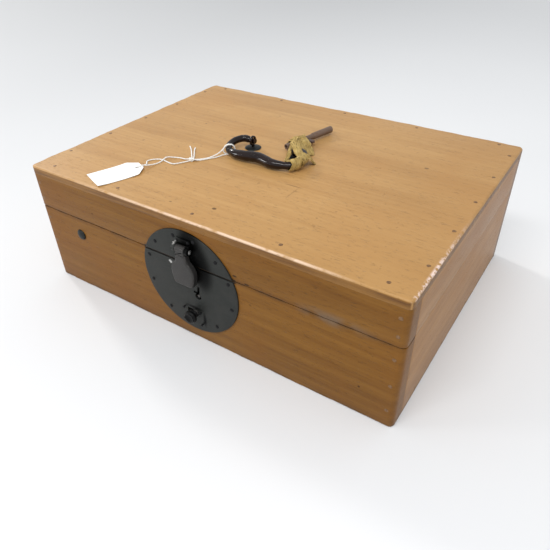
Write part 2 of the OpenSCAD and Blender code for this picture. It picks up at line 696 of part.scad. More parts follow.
// The string's surface: a ring of eight points round each point of a smoothed route
function smooth(pts) = [for (i = [0:len(pts) - 2], t = [0, 0.25, 0.5, 0.75]) let (
        a = pts[max(i - 1, 0)], b = pts[i], c = pts[i + 1], d = pts[min(i + 2, len(pts) - 1)])
    0.5 * (2 * b + (c - a) * t + (2 * a - 5 * b + 4 * c - d) * t * t + (3 * b - a - 3 * c + d) * t * t * t)];
function unit(v) = v / norm(v);
function ring(p, dir, r) = let (u = unit(cross(dir, [0, 0, 1])), w = unit(cross(u, dir)))
    [for (k = [0:7]) p + r * (cos(45 * k) * u + sin(45 * k) * w)];

module tube(route, r) {
    pts = smooth(route);
    n = len(pts);
    rings = [for (i = [0:n - 1]) ring(pts[i], unit(pts[min(i + 1, n - 1)] - pts[max(i - 1, 0)]), r)];
    polyhedron(
        points = [for (q = rings, p = q) p],
        faces = concat(
            [[for (k = [7:-1:0]) k]],
            [for (i = [0:n - 2], k = [0:7]) [i * 8 + k, i * 8 + (k + 1) % 8, (i + 1) * 8 + (k + 1) % 8, (i + 1) * 8 + k]],
            [[for (k = [0:7]) (n - 1) * 8 + k]]));
}

module tag_string() color("#E8E6DC") tube(string_route, string_r);

// The string's loop round the left end of the grip
module string_loop() color("#E8E6DC") translate([handle_x, handle_y, pivot_z]) rotate([droop, 0, 0])
    translate([-bail_half + 2.93, -bail_reach + 2.93, 0]) rotate([0, 0, -45]) rotate([0, 90, 0])
        rotate_extrude() translate([arm_r + string_r + 0.75, 0]) circle(string_r, $fn = 16);

base_board();
base_pegs();
box_front();
box_back();
box_left();
box_right();
box_pegs();
plate_lower();
plate_lower_nails();
knob_plate();
knob_plate_rivets();
front_stud();
lock_back_plate();
lock_posts();
key_post();
bolt_guides();
bolt_spring();
hinge_lower_leaves();
hinge_lower_nails();
hinge_pins();
bolt();
bolt_knob();
top_board();
top_pegs();
lid_front();
lid_back();
lid_left();
lid_right();
lid_pegs();
plate_upper();
plate_upper_nails();
hasp_leaf();
hasp_leaf_rivets();
hasp_pin();
hinge_upper_leaves();
hinge_upper_nails();
handle_washers();
handle_eyes();
key_stem();
key_bit();
key_handle();
tie_knot();
tag();
tag_string();
hasp();
hasp_staple();
handle();
tie_wrap();
string_loop();
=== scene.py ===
# %% [markdown]
# # A wooden money box with an iron lock plate
#
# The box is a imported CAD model: every board, plate, hinge and pin already has its right size and
# its right joint. This lesson dresses that model. Each step says what a piece is on the real
# object, how it could be made in Blender, and why it is made the way it is here.

# %% Load the frame
from math import asin, ceil, cos, degrees, pi, radians, sin, tan
import bpy
import bmesh
from mathutils import Matrix, Vector, noise


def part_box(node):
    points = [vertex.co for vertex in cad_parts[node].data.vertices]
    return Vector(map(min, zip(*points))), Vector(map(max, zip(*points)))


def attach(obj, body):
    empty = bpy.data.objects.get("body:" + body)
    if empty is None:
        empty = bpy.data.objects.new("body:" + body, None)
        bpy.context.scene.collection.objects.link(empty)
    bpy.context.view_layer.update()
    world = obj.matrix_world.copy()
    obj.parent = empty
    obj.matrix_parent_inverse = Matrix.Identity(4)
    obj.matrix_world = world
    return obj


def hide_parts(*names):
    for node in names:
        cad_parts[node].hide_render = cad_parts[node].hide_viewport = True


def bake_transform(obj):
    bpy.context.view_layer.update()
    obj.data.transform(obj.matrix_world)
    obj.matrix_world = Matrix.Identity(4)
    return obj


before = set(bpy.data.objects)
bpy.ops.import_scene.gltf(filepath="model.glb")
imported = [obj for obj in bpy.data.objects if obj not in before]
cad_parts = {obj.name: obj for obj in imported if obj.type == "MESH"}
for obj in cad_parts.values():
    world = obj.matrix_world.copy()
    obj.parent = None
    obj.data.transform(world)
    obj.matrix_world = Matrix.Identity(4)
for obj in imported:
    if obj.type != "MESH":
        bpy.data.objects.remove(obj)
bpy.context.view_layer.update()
MM = 0.001

# %% [markdown]
# ## Measures taken from the frame
#
# The pieces are built in millimetres, because that is how the box is drawn, and are scaled to
# metres when their mesh is made. The main faces are read from the CAD nodes, so a piece can't
# drift from the model that it dresses.

# %% Read the main faces
def extent(node):
    """A node's lowest and highest corner in millimetres."""
    low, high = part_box(node)
    return [c * 1000 for c in low], [c * 1000 for c in high]

box_low, box_high = extent("box_front")
top_low, top_high = extent("top_board")
lid_low, lid_high = extent("lid_front")
side_low, side_high = extent("box_right")
HALF_W, FRONT, BACK = top_high[0], top_low[1], top_high[1]
LID_TOP, BOARD_UNDER, LID_FOOT, RIM = top_high[2], top_low[2], lid_low[2], box_high[2]
INNER_FRONT, INNER_BACK, INNER_SIDE = box_high[1], side_high[1], side_low[0]

def middle_x(node):
    low, high = extent(node)
    return (low[0] + high[0]) / 2

LOCK_X, PLATE_FACE = middle_x("plate_lower"), extent("plate_lower")[0][1]
print("top of the lid", round(LID_TOP, 2), "seam", round(RIM, 2), "to", round(LID_FOOT, 2), "lock at x",
    round(LOCK_X, 2))

# %% [markdown]
# ## Camera
#
# The view is from the right of the front and well above the lid. The camera's axes are set from
# three angles, so the picture's tilt can be given too.

# %% Make the camera
def aim_camera(place, azimuth, elevation, roll, lens):
    az, el, ro = (radians(a) for a in (azimuth, elevation, roll))
    back = Vector((sin(az) * cos(el), -cos(az) * cos(el), sin(el)))
    level = Vector((cos(az), sin(az), 0))
    upright = back.cross(level)
    right = cos(ro) * level + sin(ro) * upright
    up = cos(ro) * upright - sin(ro) * level
    data = bpy.data.cameras.new("camera")
    data.lens, data.sensor_width, data.clip_start, data.clip_end = lens, 36, 0.02, 20
    camera = bpy.data.objects.new("camera", data)
    bpy.context.collection.objects.link(camera)
    camera.matrix_world = Matrix((right, up, back)).transposed().to_4x4()
    camera.location = [c * MM for c in place]
    bpy.context.scene.camera = camera

aim_camera(place=(277.1, -418.7, 356.8), azimuth=34.40, elevation=36.72, roll=-1.38, lens=35.13)
print("camera ready")

# %% [markdown]
# ## Three ways to make a mesh
#
# Most pieces here are one of three shapes. A board or plate is an outline with a thickness and
# eased edges, a knob is turned on an axis, and a handle or string is a round bar that follows a
# line. Blender has a bevel, a screw and a curve object for these, but a small function that
# places rings of points gives the same shapes with worn, uneven edges, which is what old work has.

# %% Link a mesh in millimetres to the scene
def piece(name, points, faces, smooth=True, angle=35):
    mesh = bpy.data.meshes.new(name)
    mesh.from_pydata([Vector(p) * MM for p in points], [], faces)
    mesh.validate()
    fixed = bmesh.new()
    fixed.from_mesh(mesh)
    bmesh.ops.recalc_face_normals(fixed, faces=fixed.faces)
    fixed.to_mesh(mesh)
    fixed.free()
    thing = bpy.data.objects.new(name, mesh)
    bpy.context.collection.objects.link(thing)
    if smooth:
        mesh.shade_smooth()
        mesh.set_sharp_from_angle(angle=radians(angle))
    return thing

def round_angles(around):
    return [2 * pi * k / around for k in range(around)]

def rings_to_faces(count, around, first_cap=True, last_cap=True):
    """Faces between count rings of around points, with a flat cap at each end if wanted."""
    faces = [[i * around + k, i * around + (k + 1) % around,
        (i + 1) * around + (k + 1) % around, (i + 1) * around + k]
        for i in range(count - 1) for k in range(around)]
    if first_cap:
        faces.append(list(range(around))[::-1])
    if last_cap:
        faces.append([(count - 1) * around + k for k in range(around)])
    return faces

print("piece ready")

# %% An outline with a thickness and eased edges
def outline(corners, step=9):
    """A closed line through (u, v, radius) corners, with points at most step apart."""
    n, line = len(corners), []
    for i in range(n):
        a, b, c = (Vector(corners[j % n][:2]) for j in (i - 1, i, i + 1))
        r = corners[i][2]
        if r <= 0:
            line.append(b)
            continue
        into, out = (b - a).normalized(), (c - b).normalized()
        turn = into.angle(out)
        cut = r * tan(turn / 2)
        p, q = b - into * cut, b + out * cut
        bend = max(2, round(degrees(turn) / 15))
        side = 1 if into.x * out.y - into.y * out.x > 0 else -1
        centre = p + Vector((-into.y, into.x)) * r * side
        for k in range(bend + 1):
            t = side * turn * k / bend
            d = p - centre
            line.append(centre + Vector((d.x * cos(t) - d.y * sin(t), d.x * sin(t) + d.y * cos(t))))
    dense = []
    for i, p in enumerate(line):
        q = line[(i + 1) % len(line)]
        pieces = max(1, ceil((q - p).length / step))
        dense += [p.lerp(q, k / pieces) for k in range(pieces)]
    return dense

def slab(name, line, w0, w1, place, ease0=0.4, ease1=0.4, wear=0.0, steps=4, crown=0.0, seed=0.0, angle=35):
    """Sweeps a counter-clockwise line from w0 to w1 with rounded edges, uneven where wear is above 0."""
    n = len(line)
    out = []
    for i in range(n):
        into, away = (line[i] - line[i - 1]).normalized(), (line[(i + 1) % n] - line[i]).normalized()
        normal = Vector((into.y + away.y, -into.x - away.x))
        normal = normal.normalized() if normal.length > 1e-6 else Vector((into.y, -into.x))
        out.append(normal / max(0.5, normal.dot(Vector((into.y, -into.x)))))
    def ease(i, e):
        if wear <= 0:
            return e
        p = Vector((line[i].x, line[i].y, seed))
        return e * max(0.25, 1 + wear * (noise.noise(p * 0.045) * 1.3 + noise.noise(p * 0.19) * 0.9))
    rings = []
    for k in range(steps + 1):
        t = radians(90 * k / steps)
        rings.append([(line[i] - out[i] * ease(i, ease0) * (1 - sin(t)), w0 + ease(i, ease0) * (1 - cos(t)))
            for i in range(n)])
    for k in range(steps + 1):
        t = radians(90 * k / steps)
        rings.append([(line[i] - out[i] * ease(i, ease1) * (1 - cos(t)), w1 - ease(i, ease1) * (1 - sin(t)))
            for i in range(n)])
    if crown:
        middle = sum(line, Vector((0, 0))) / n
        start = rings[-1]
        for k in range(1, 9):
            t = k / 8.5
            rings.append([(p.lerp(middle, t), w1 + crown * sin(pi / 2 * t)) for p, w in start])
    points = [place(p.x, p.y, w) for ring in rings for p, w in ring]
    return piece(name, points, rings_to_faces(len(rings), n), angle=angle)

def flat_lie(u, v, w):
    return (u, v, w)

def upright_lie(u, v, w):
    """Draws u along X and v along Z; w grows towards the front."""
    return (u, -w, v)

print("outline and slab ready")

# %% A turned piece and a round bar along a line
def turned(name, profile, place, around=40, wobble=0.0, seed=0.0):
    """Turns (radius, height) pairs round the w axis; place puts (u, v, w) in the box."""
    points = []
    for j, (r, h) in enumerate(profile):
        for a in round_angles(around):
            d = noise.noise(Vector((cos(a) * 1.7, sin(a) * 1.7, seed + h * 0.3)))
            points.append(place(r * (1 + wobble * d) * cos(a), r * (1 + wobble * d) * sin(a), h))
    return piece(name, points, rings_to_faces(len(profile), around))

def smooth_line(knots, step=1.0):
    """A Catmull-Rom line through the knots, with points about step apart."""
    knots = [Vector(k) for k in knots]
    line = []
    for i in range(len(knots) - 1):
        a, b, c, d = knots[max(i - 1, 0)], knots[i], knots[i + 1], knots[min(i + 2, len(knots) - 1)]
        pieces = max(2, ceil((c - b).length / step))
        for k in range(pieces):
            t = k / pieces
            line.append(0.5 * (2 * b + (c - a) * t + (2 * a - 5 * b + 4 * c - d) * t * t
                + (3 * b - a - 3 * c + d) * t ** 3))
    return line + [knots[-1]]

def frames_along(line, up=(0, 0, 1)):
    """(tangent, side, up) at each point, carried along so that nothing twists suddenly."""
    frames, side = [], None
    for i in range(len(line)):
        t = (line[min(i + 1, len(line) - 1)] - line[max(i - 1, 0)]).normalized()
        if side is None:
            side = t.cross(Vector(up)).normalized()
        side = (side - t * side.dot(t)).normalized()
        frames.append((t, side, side.cross(t)))
    return frames

def bar(name, line, radius, around=16, lobes=0.0, pitch=5.0, caps=True):
    """A round bar along a line. radius is a function of the part run, 0 to 1; lobes give a twist."""
    run = [0.0]
    for a, b in zip(line, line[1:]):
        run.append(run[-1] + (b - a).length)
    points = []
    for p, (t, side, up), s in zip(line, frames_along(line), run):
        r = radius(s / run[-1])
        for a in round_angles(around):
            grow = 1 + lobes * cos(2 * (a - 2 * pi * s / pitch / 2)) if lobes else 1
            points.append(p + (side * cos(a) + up * sin(a)) * r * grow)
    return piece(name, points, rings_to_faces(len(line), around, caps, caps))

print("mesh helpers ready")

# %% [markdown]
# ## The tag's string
#
# A thin cotton string is doubled through the tag's hole, knotted, and looped twice round the left
# bend of the handle, with two short tails after the knot. It is limp, so all of it lies on the lid
# except where it climbs to the grip. The tag lies on the lid but the handle can turn. The string is
# one line, because a real one is one length.

# %% Lay the string
S = LID_TOP + 0.62
hole = Vector((-102.3, -96.6))
tag_up, tag_side = Vector((0.368, 0.930)), Vector((0.930, -0.368))

def by_hole(along, across, z):
    p = hole + tag_up * along + tag_side * across
    return (p.x, p.y, z)

string_knots = [
    (-92.5, -29.8, S), (-86.0, -35.5, S), (-79.2, -42.8, S), (-73.5, -49.0, S), (-68.6, -54.2, S + 0.7),
    (-63.5, -49.6, S), (-58.0, -42.6, S), (-53.6, -36.0, S + 1.6), (-51.2, -31.0, 135.2),
    (-49.6, -27.9, 137.6), (-47.8, -25.8, 140.9), (-45.2, -23.4, 141.9), (-42.6, -21.0, 140.8),
    (-41.3, -19.8, 137.0),
    (-42.5, -21.1, 133.2), (-45.3, -24.0, 132.1), (-48.4, -27.2, 133.2), (-49.2, -28.4, 137.0),
    (-47.2, -26.6, 140.8),
    (-44.5, -24.1, 141.9), (-41.9, -21.7, 140.8), (-40.6, -20.5, 137.0), (-41.7, -21.9, 133.2),
    (-44.5, -24.9, 132.1),
    (-48.6, -29.6, S + 0.5), (-52.0, -36.8, S), (-56.6, -43.8, S), (-62.4, -51.2, S), (-68.3, -55.2, S + 1.5),
    (-74.5, -57.6, S + 0.9), (-82.0, -57.0, S), (-89.0, -59.4, S), (-92.8, -65.2, S + 1.3), (-92.6, -74.0, S),
    (-93.6, -81.5, S + 0.3), by_hole(8.5, 3.0, S + 1.7), by_hole(5, 2.4, 134.2), by_hole(0.6, 1.6, 133.8),
    by_hole(-1.4, 0, 133.0),
    by_hole(0.6, -1.7, 131.7), by_hole(5.5, -2.3, S), by_hole(11, -2.8, S), (-105.2, -79.5, S),
    (-102.4, -73.4, S),
    (-95.5, -69.4, S), (-87.2, -70.6, S), (-79.0, -71.0, S), (-73.8, -65.0, S), (-69.0, -56.5, S + 0.2),
    (-70.6, -49.6, S), (-76.5, -41.8, S), (-82.0, -35.0, S), (-84.5, -30.6, S + 0.5)]
string_line = smooth_line(string_knots, 0.8)
string_length = sum((b - a).length for a, b in zip(string_line, string_line[1:]))
string = bar("white_string", string_line, lambda t: 0.6, around=10, lobes=0.16, pitch=3.2)
print("string", round(string_length, 1), "mm")

# %% Tie the string's knot
knot_turns = [(-68.5 + (2.1 + 0.5 * cos(2.5 * a)) * cos(a), -55.0 + (1.8 + 0.4 * sin(3 * a)) * sin(a),
    S + 0.9 + 0.9 * sin(1.5 * a)) for a in [i * 0.55 for i in range(24)]]
string_knot = bar("string_knot", smooth_line(knot_turns, 0.7), lambda t: 0.62, around=10, lobes=0.16, pitch=3.2)

print("knot", len(knot_turns), "points")

# %% Bake the string, put its knot on the lid and hide the CAD string
[p * MM for p in string_line]
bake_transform(string)
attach(string_knot, "lid")
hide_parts("tag_string", "string_loop")

# %% [markdown]
# ## Shader maths as Python expressions
#
# A material is a sum of masks, and a sum reads best as a sum. `Sock` wraps one output socket, so
# `1 - mask * 0.4` adds its own Math nodes. Every other node comes from `Finish.node`, which sets
# the node's settings first and then its sockets.

# %% The socket wrapper
class Sock:
    def __init__(self, finish, socket):
        self.finish, self.socket = finish, socket

    def maths(self, operation, other=None, flip=False, clamp=False):
        values = {0: self} if other is None else ({0: other, 1: self} if flip else {0: self, 1: other})
        return self.finish.node("ShaderNodeMath", {"operation": operation, "use_clamp": clamp}, values)

    def __add__(self, other): return self.maths("ADD", other)
    def __radd__(self, other): return self.maths("ADD", other)
    def __sub__(self, other): return self.maths("SUBTRACT", other)
    def __rsub__(self, other): return self.maths("SUBTRACT", other, flip=True)
    def __mul__(self, other): return self.maths("MULTIPLY", other)
    def __rmul__(self, other): return self.maths("MULTIPLY", other)
    def ramp(self, low, high):
        """0 below low, 1 above high, and smooth between; low above high turns it round."""
        flip = low > high
        a, b = min(low, high), max(low, high)
        out = self.finish.node("ShaderNodeMapRange", {"interpolation_type": "SMOOTHSTEP"},
            {"Value": self, "From Min": a, "From Max": b})
        return 1 - out if flip else out

print("sockets add up")

# %% A material being built
class Finish:
    def __init__(self, name):
        self.material = bpy.data.materials.new(name)
        self.material.use_nodes = True
        self.tree = self.material.node_tree
        self.tree.nodes.clear()
        self.place = self.node("ShaderNodeTexCoord", {}, {}, "Object")

    def node(self, kind, settings=None, inputs=None, out=0):
        made = self.tree.nodes.new(kind)
        for key, value in (settings or {}).items():
            setattr(made, key, value)
        for key, value in (inputs or {}).items():
            if isinstance(value, Sock):
                self.tree.links.new(value.socket, made.inputs[key])
            else:
                made.inputs[key].default_value = value
        return Sock(self, made.outputs[out])

    def stretched(self, scale, shift=(0, 0, 0)):
        return self.node("ShaderNodeMapping", {}, {"Vector": self.place, "Scale": scale, "Location": shift})

    def noise(self, scale, detail=3.0, rough=0.5, where=None, twist=0.0):
        return self.node("ShaderNodeTexNoise", {},
            {"Vector": where or self.place, "Scale": scale, "Detail": detail,
            "Roughness": rough, "Distortion": twist}, "Fac")

    def mix(self, factor, a, b):
        """Colour a where factor is 0, colour b where it is 1."""
        made = self.tree.nodes.new("ShaderNodeMix")
        made.data_type = "RGBA"
        for slot, value in ((0, factor), (6, a), (7, b)):
            if isinstance(value, Sock):
                self.tree.links.new(value.socket, made.inputs[slot])
            else:
                made.inputs[slot].default_value = value if slot == 0 else (*value, 1)
        return Sock(self, made.outputs[2])

    def axis(self, name):
        return self.node("ShaderNodeSeparateXYZ", {}, {0: self.place}, name)

    def spot(self, centre, stretch, edge=0.25):
        """1 at a mark on the surface, fading to 0; stretch is its half size in mm along each axis."""
        scale = [1000 / s for s in stretch]
        moved = self.node("ShaderNodeMapping", {}, {"Vector": self.place, "Scale": scale,
            "Location": [-c * k / 1000 for c, k in zip(centre, scale)]})
        far = self.node("ShaderNodeVectorMath", {"operation": "LENGTH"}, {0: moved}, "Value")
        return far.ramp(1 + edge, 1 - edge)

    def finish(self, colour, roughness, metallic=0.0, height=None, distance=0.0003, strength=1.0, **steady):
        normal = {}
        if height is not None:
            normal["Normal"] = self.node("ShaderNodeBump", {},
                {"Height": height, "Distance": distance, "Strength": strength})
        body = {"Base Color": colour if isinstance(colour, Sock) else (*colour, 1), "Roughness": roughness,
            "Metallic": metallic}
        body.update({key.replace("_", " "): value for key, value in steady.items()})
        body.update(normal)
        shader = self.node("ShaderNodeBsdfPrincipled", {}, body)
        output = self.tree.nodes.new("ShaderNodeOutputMaterial")
        self.tree.links.new(shader.socket, output.inputs["Surface"])
        return self.material

def wear_this(thing, material):
    thing.data.materials.clear()
    thing.data.materials.append(material)

def belongs(thing, material, body, slot, *nodes):
    """A piece's finish, the body that it rides on, its material slot (not used), and the CAD nodes that it
    stands for.
    """
    wear_this(thing, material)
    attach(thing, body)
    if nodes:
        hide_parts(*nodes)
    return thing

# %% [markdown]
# ## Wood
#
# The boards are a soft, straight-grained wood with an old clear finish. The lid's top has been
# bleached to a honey tan, and the front is darker and redder. The grain is noise that is stretched
# a lot along the board, in three sizes: broad figure, fine lines and short dark pores. Patches of
# handling and light change the colour slowly, and the edges have lost their finish. The lid's front
# and right arrises also carry a painted highlight.

# %% Build the wood
def wood(name, along, light, dark, red, figure=1.0, rough=0.42, marks=(), smudge=None, shift=(0, 0, 0),
        edges=None, sheen=0.0, gloss=0.4):
    """Grain that runs along one axis, then patches, pores, marks, a smudge and what edges(f, tone) adds."""
    f = Finish(name)
    run = {"x": (1, 14, 14), "y": (14, 1, 14)}[along]
    lean = f.noise(5, 2, 0.5, f.stretched((1, 1, 1), shift))
    broad = f.noise(2.6, 3, 0.55, f.stretched(run, shift), twist=0.6)
    bands = f.node("ShaderNodeTexWave", {"wave_type": "BANDS", "bands_direction": "Z"},
        {"Vector": f.stretched([c * 0.30 for c in run], shift), "Scale": 5.5, "Distortion": 9.0,
        "Detail": 3.0, "Detail Scale": 0.9, "Detail Roughness": 0.55}, "Fac")
    lines = f.noise(22, 4, 0.65, f.stretched([c * (0.45 if c == 1 else 1) for c in run], shift), twist=0.15)
    pores = f.noise(95, 2, 0.5, f.stretched([c * (1.3 if c == 1 else 1) for c in run], shift)).ramp(0.63, 0.72)
    patches = f.noise(11, 3, 0.6, f.stretched((1, 1, 1), [s + 3 for s in shift]))
    specks = f.noise(240, 1, 0.4, f.stretched((1, 1, 1), shift)).ramp(0.72, 0.78)
    grain = (broad.ramp(0.30, 0.72) * 0.45 + bands * 0.22 + lines.ramp(0.25, 0.75) * 0.45) * figure
    tone = f.mix(grain.maths("MULTIPLY", 0.9, clamp=True), light, dark)
    tone = f.mix(patches.ramp(0.40, 0.72) * 0.55, tone, red)
    tone = f.mix(lean.ramp(0.45, 0.75) * 0.22, tone, [c * 1.12 for c in light])
    tone = f.mix(pores * 0.34, tone, [c * 0.42 for c in dark])
    tone = f.mix(specks * 0.30, tone, [c * 0.35 for c in dark])
    for centre, size, depth in marks:
        tone = f.mix(f.spot(centre, size) * depth, tone, [c * 0.22 for c in dark])
    if smudge:
        centre, size, grey = smudge
        tone = f.mix(f.spot(centre, size, 0.8) * f.noise(60, 2).ramp(0.35, 0.6) * 0.5, tone, grey)
    if edges:
        tone = edges(f, tone)
    roughness = patches * 0.14 + lines * 0.10 + (rough - 0.12)
    height = lines * 0.55 + broad * 0.5 - pores * 1.2 - specks * 0.4
    return f.finish(tone, roughness, height=height, distance=0.00022, strength=0.8, Specular_IOR_Level=gloss,
        Coat_Weight=sheen, Coat_Roughness=0.22)

print("wood function ready")

# %% The top board's worn rim and its painted arris highlight
def rim_wear_and_highlight(f, tone):
    """Edges as dark as the walls below, a painted highlight along the front arris, and pale worn chips with a
    painted highlight along the right arris.
    """
    x, y, z = f.axis("X"), f.axis("Y"), f.axis("Z")
    # darker and redder towards the right of the top, and at its front left
    tone = f.mix(x.ramp(0.02, 0.19) * 0.32, tone, (0.34, 0.175, 0.052))
    tone = f.mix(y.ramp(-0.06, -0.14) * x.ramp(-0.1, 0.05) * 0.22, tone, (0.34, 0.175, 0.052))
    under = z.ramp((LID_TOP - 1.0) * MM, (LID_TOP - 2.0) * MM)
    front_face = (y - FRONT * MM).ramp(0.0016, 0.0006) * under
    side_face = ((HALF_W * MM - x.maths("ABSOLUTE")).ramp(0.0016, 0.0006)).maths("MAXIMUM",
        (BACK * MM - y).ramp(0.0016, 0.0006)) * under
    grain = f.noise(30, 3, 0.6, f.stretched((0.5, 6, 14)))
    tone = f.mix(front_face * 0.95, tone, f.mix(grain.ramp(0.3, 0.7), FRONT_LIGHT, FRONT_DARK))
    tone = f.mix(side_face * 0.95, tone, f.mix(grain.ramp(0.3, 0.7), [c * 0.62 for c in SIDE_LIGHT],
        [c * 0.5 for c in SIDE_DARK]))
    arris = z.ramp((LID_TOP - 2.4) * MM, (LID_TOP - 0.5) * MM)
    to_front = (y - FRONT * MM).ramp(0.0024, 0.0006) * x.ramp(-0.20, 0.02) * x.ramp(0.17, 0.10)
    to_right = (HALF_W * MM - x).ramp(0.0034, 0.0006) * y.ramp(-0.01, -0.11)
    broken = f.noise(60, 3, 0.6).ramp(0.32, 0.55)
    chipped = f.noise(260, 3, 0.7).ramp(0.42, 0.56)
    # painted highlight along the front arris
    tone = f.mix(to_front * arris * broken * 0.85, tone, (0.80, 0.60, 0.45))
    # pale worn chips with a painted highlight along the right arris
    return f.mix(to_right * arris * chipped * 0.95, tone, (0.86, 0.68, 0.60))

print("worn edges ready")

# %% Dirt on the walls, and painted shade in the plate's gap
SEAM_Z = (RIM + LID_FOOT) / 2

def seam_dirt_and_gap_shade(f, tone, seam_depth=0.65):
    """Dirt gathers along the seam, the wood darkens towards the bottom edge, and painted shade fills the gap
    between the plate's two parts.
    """
    x, y, z = f.axis("X"), f.axis("Y"), f.axis("Z")
    at_front = (y - FRONT * MM).ramp(0.0022, 0.0012)
    outside = at_front.maths("MAXIMUM", (BACK * MM - y).ramp(0.0022, 0.0012)).maths("MAXIMUM",
        (HALF_W * MM - x.maths("ABSOLUTE")).ramp(0.0022, 0.0012))
    # painted shade: near black in the gap between the plate's two parts
    gap_shade = ((x - LOCK_X * MM).maths("ABSOLUTE").ramp(0.0525, 0.0517)
        * (z - 0.087).maths("ABSOLUTE").ramp(0.0024, 0.0016) * at_front)
    tone = f.mix(gap_shade * 0.95, tone, (0.010, 0.008, 0.006))
    # darker towards the bottom edge
    foot = z.ramp(0.006, 0.0005) * f.noise(40, 2).ramp(0.3, 0.6)
    seam = (z - SEAM_Z * MM).maths("ABSOLUTE").ramp(0.0022, 0.0002) * f.noise(55, 2).ramp(0.35, 0.6) * outside
    return f.mix((foot * 0.5).maths("MAXIMUM", seam * seam_depth), tone, (0.06, 0.035, 0.018))

print("dirt ready")

# %% Single marks, each with its centre, half size and depth
top_marks = [((10.5, -118, 131), (2.1, 1.6, 4), 0.9), ((134.5, 48, 131), (2.2, 1.7, 4), 0.7),
    ((46, -48, 131), (9, 0.6, 4), 0.5),
    ((52, -60, 131), (0.7, 11, 4), 0.25), ((-120, 30, 131), (1.1, 1.0, 4), 0.6),
    ((92, -86, 131), (1.0, 0.8, 4), 0.5),
    ((-60, 92, 131), (0.9, 0.9, 4), 0.5), ((150, -40, 131), (5, 0.5, 4), 0.35),
    ((-30, -128, 131), (1.3, 0.9, 4), 0.6)]
front_marks = [((74, -146, 128.4), (1.8, 4, 1.3), 0.85), ((83, -146, 128), (1.1, 4, 2.2), 0.8),
    ((50, -146, 93), (2.2, 4, 0.9), 0.9),
    ((62, -146, 89), (2.6, 4, 0.8), 0.9), ((-120, -146, 100), (1.2, 4, 0.8), 0.6),
    ((168, -146, 31), (1.0, 4, 1.0), 0.8),
    ((-70, -146, 40), (2.5, 4, 0.5), 0.5), ((120, -146, 60), (3.0, 4, 0.5), 0.35)]

print("marks:", len(top_marks), "on the top,", len(front_marks), "on the front")

# %% The woods
TOP_LIGHT, TOP_DARK, TOP_RED = (0.540, 0.315, 0.118), (0.360, 0.185, 0.058), (0.450, 0.235, 0.078)
FRONT_LIGHT, FRONT_DARK, FRONT_RED = (0.228, 0.104, 0.018), (0.112, 0.042, 0.006), (0.188, 0.070, 0.010)
SIDE_LIGHT, SIDE_DARK, SIDE_RED = (0.375, 0.182, 0.046), (0.238, 0.100, 0.022), (0.318, 0.136, 0.032)

lid_top_wood = wood("lid_top_wood", "x", TOP_LIGHT, TOP_DARK, TOP_RED, 0.85, 0.44, top_marks, edges=rim_wear_and_highlight,
    gloss=0.3)
front_wood = wood("front_wood", "x", FRONT_LIGHT, FRONT_DARK, FRONT_RED, 1.0, 0.38, front_marks,
    edges=seam_dirt_and_gap_shade, smudge=((140, -146, 88), (26, 5, 5), (0.16, 0.13, 0.10)), gloss=0.14)
side_wood = wood("side_wood", "y", SIDE_LIGHT, SIDE_DARK, SIDE_RED, 0.9, 0.36, shift=(5, 2, 1),
    edges=lambda f, tone: seam_dirt_and_gap_shade(f, tone, 0.15), sheen=0.02, gloss=0.16)
inner_wood = wood("inner_wood", "x", (0.50, 0.34, 0.18), (0.38, 0.235, 0.115), (0.45, 0.29, 0.15), 0.8, 0.6,
    shift=(9, 4, 7))
print("wood finishes ready")

# %% [markdown]
# ## Iron, cloth, paper and string finishes
#
# The lock plate is dull blackened iron, a little worn, with painted shadows beside the hasp and
# along the knob plate's edges, and painted glints near the hasp. The handle is older and smoother,
# with a purple-brown skin that shines. The key is brown and dry. Cloth and string get a weave that
# is drawn on their own coordinates, which follow the piece when it moves; the cloth's pleats also
# get painted shade and painted highlights.

# %% Build the iron
def iron(name, base, worn, rough, metal=0.55, blotch=0.35, bump=0.00012, rust=None, spec=0.5, painted_shadows=(),
        painted_glints=()):
    """Dull iron: clouds of the worn colour on the base colour, with pits, rust, painted shadows and painted
    glints.
    """
    f = Finish(name)
    cloud = f.noise(55, 4, 0.6)
    fine = f.noise(420, 3, 0.6)
    pits = f.noise(900, 1, 0.5).ramp(0.66, 0.74)
    tone = f.mix(cloud.ramp(0.35, 0.7) * blotch, base, worn)
    tone = f.mix(pits * 0.5, tone, [c * 0.3 for c in base])
    if rust:
        tone = f.mix(f.noise(130, 3, 0.7).ramp(0.56, 0.70) * 0.6, tone, rust)
    # painted shadows: near-black marks where shade falls, beside the hasp and along the knob plate's edges
    for centre, size, depth in painted_shadows:
        tone = f.mix(f.spot(centre, size, 0.7) * depth, tone, [c * 0.06 for c in base])
    # painted highlights: pale glints on the plate
    for centre, size in painted_glints:
        tone = f.mix(f.spot(centre, size, 0.5) * f.noise(700, 2).ramp(0.35, 0.55), tone, (0.55, 0.54, 0.52))
    roughness = cloud * 0.16 + fine * 0.08 + (rough - 0.12)
    return f.finish(tone, roughness, metal, height=cloud * 1.4 + fine * 0.35 - pits * 0.8, distance=bump,
        Specular_IOR_Level=spec)

print("iron function ready")

# %% The irons
# painted shadow: a dark band down the right of the hasp, then painted shade along the knob plate's right and
# top edges
plate_painted_shadows = [((LOCK_X + 4.5, -148, 114), (9, 14, 10), 1.0), ((LOCK_X + 9.5, -148, 106), (9, 14, 14), 1.0),
    ((LOCK_X + 13.5, -148, 96), (10, 14, 14), 1.0),
    ((LOCK_X + 17, -148, 86), (10, 14, 13), 1.0), ((LOCK_X + 17, -148, 77), (8, 14, 12), 1.0),
    ((LOCK_X + 13.6, -148, 28), (1.6, 8, 7.5), 1.0), ((LOCK_X + 2, -148, 38.6), (8, 8, 1.5), 0.95)]
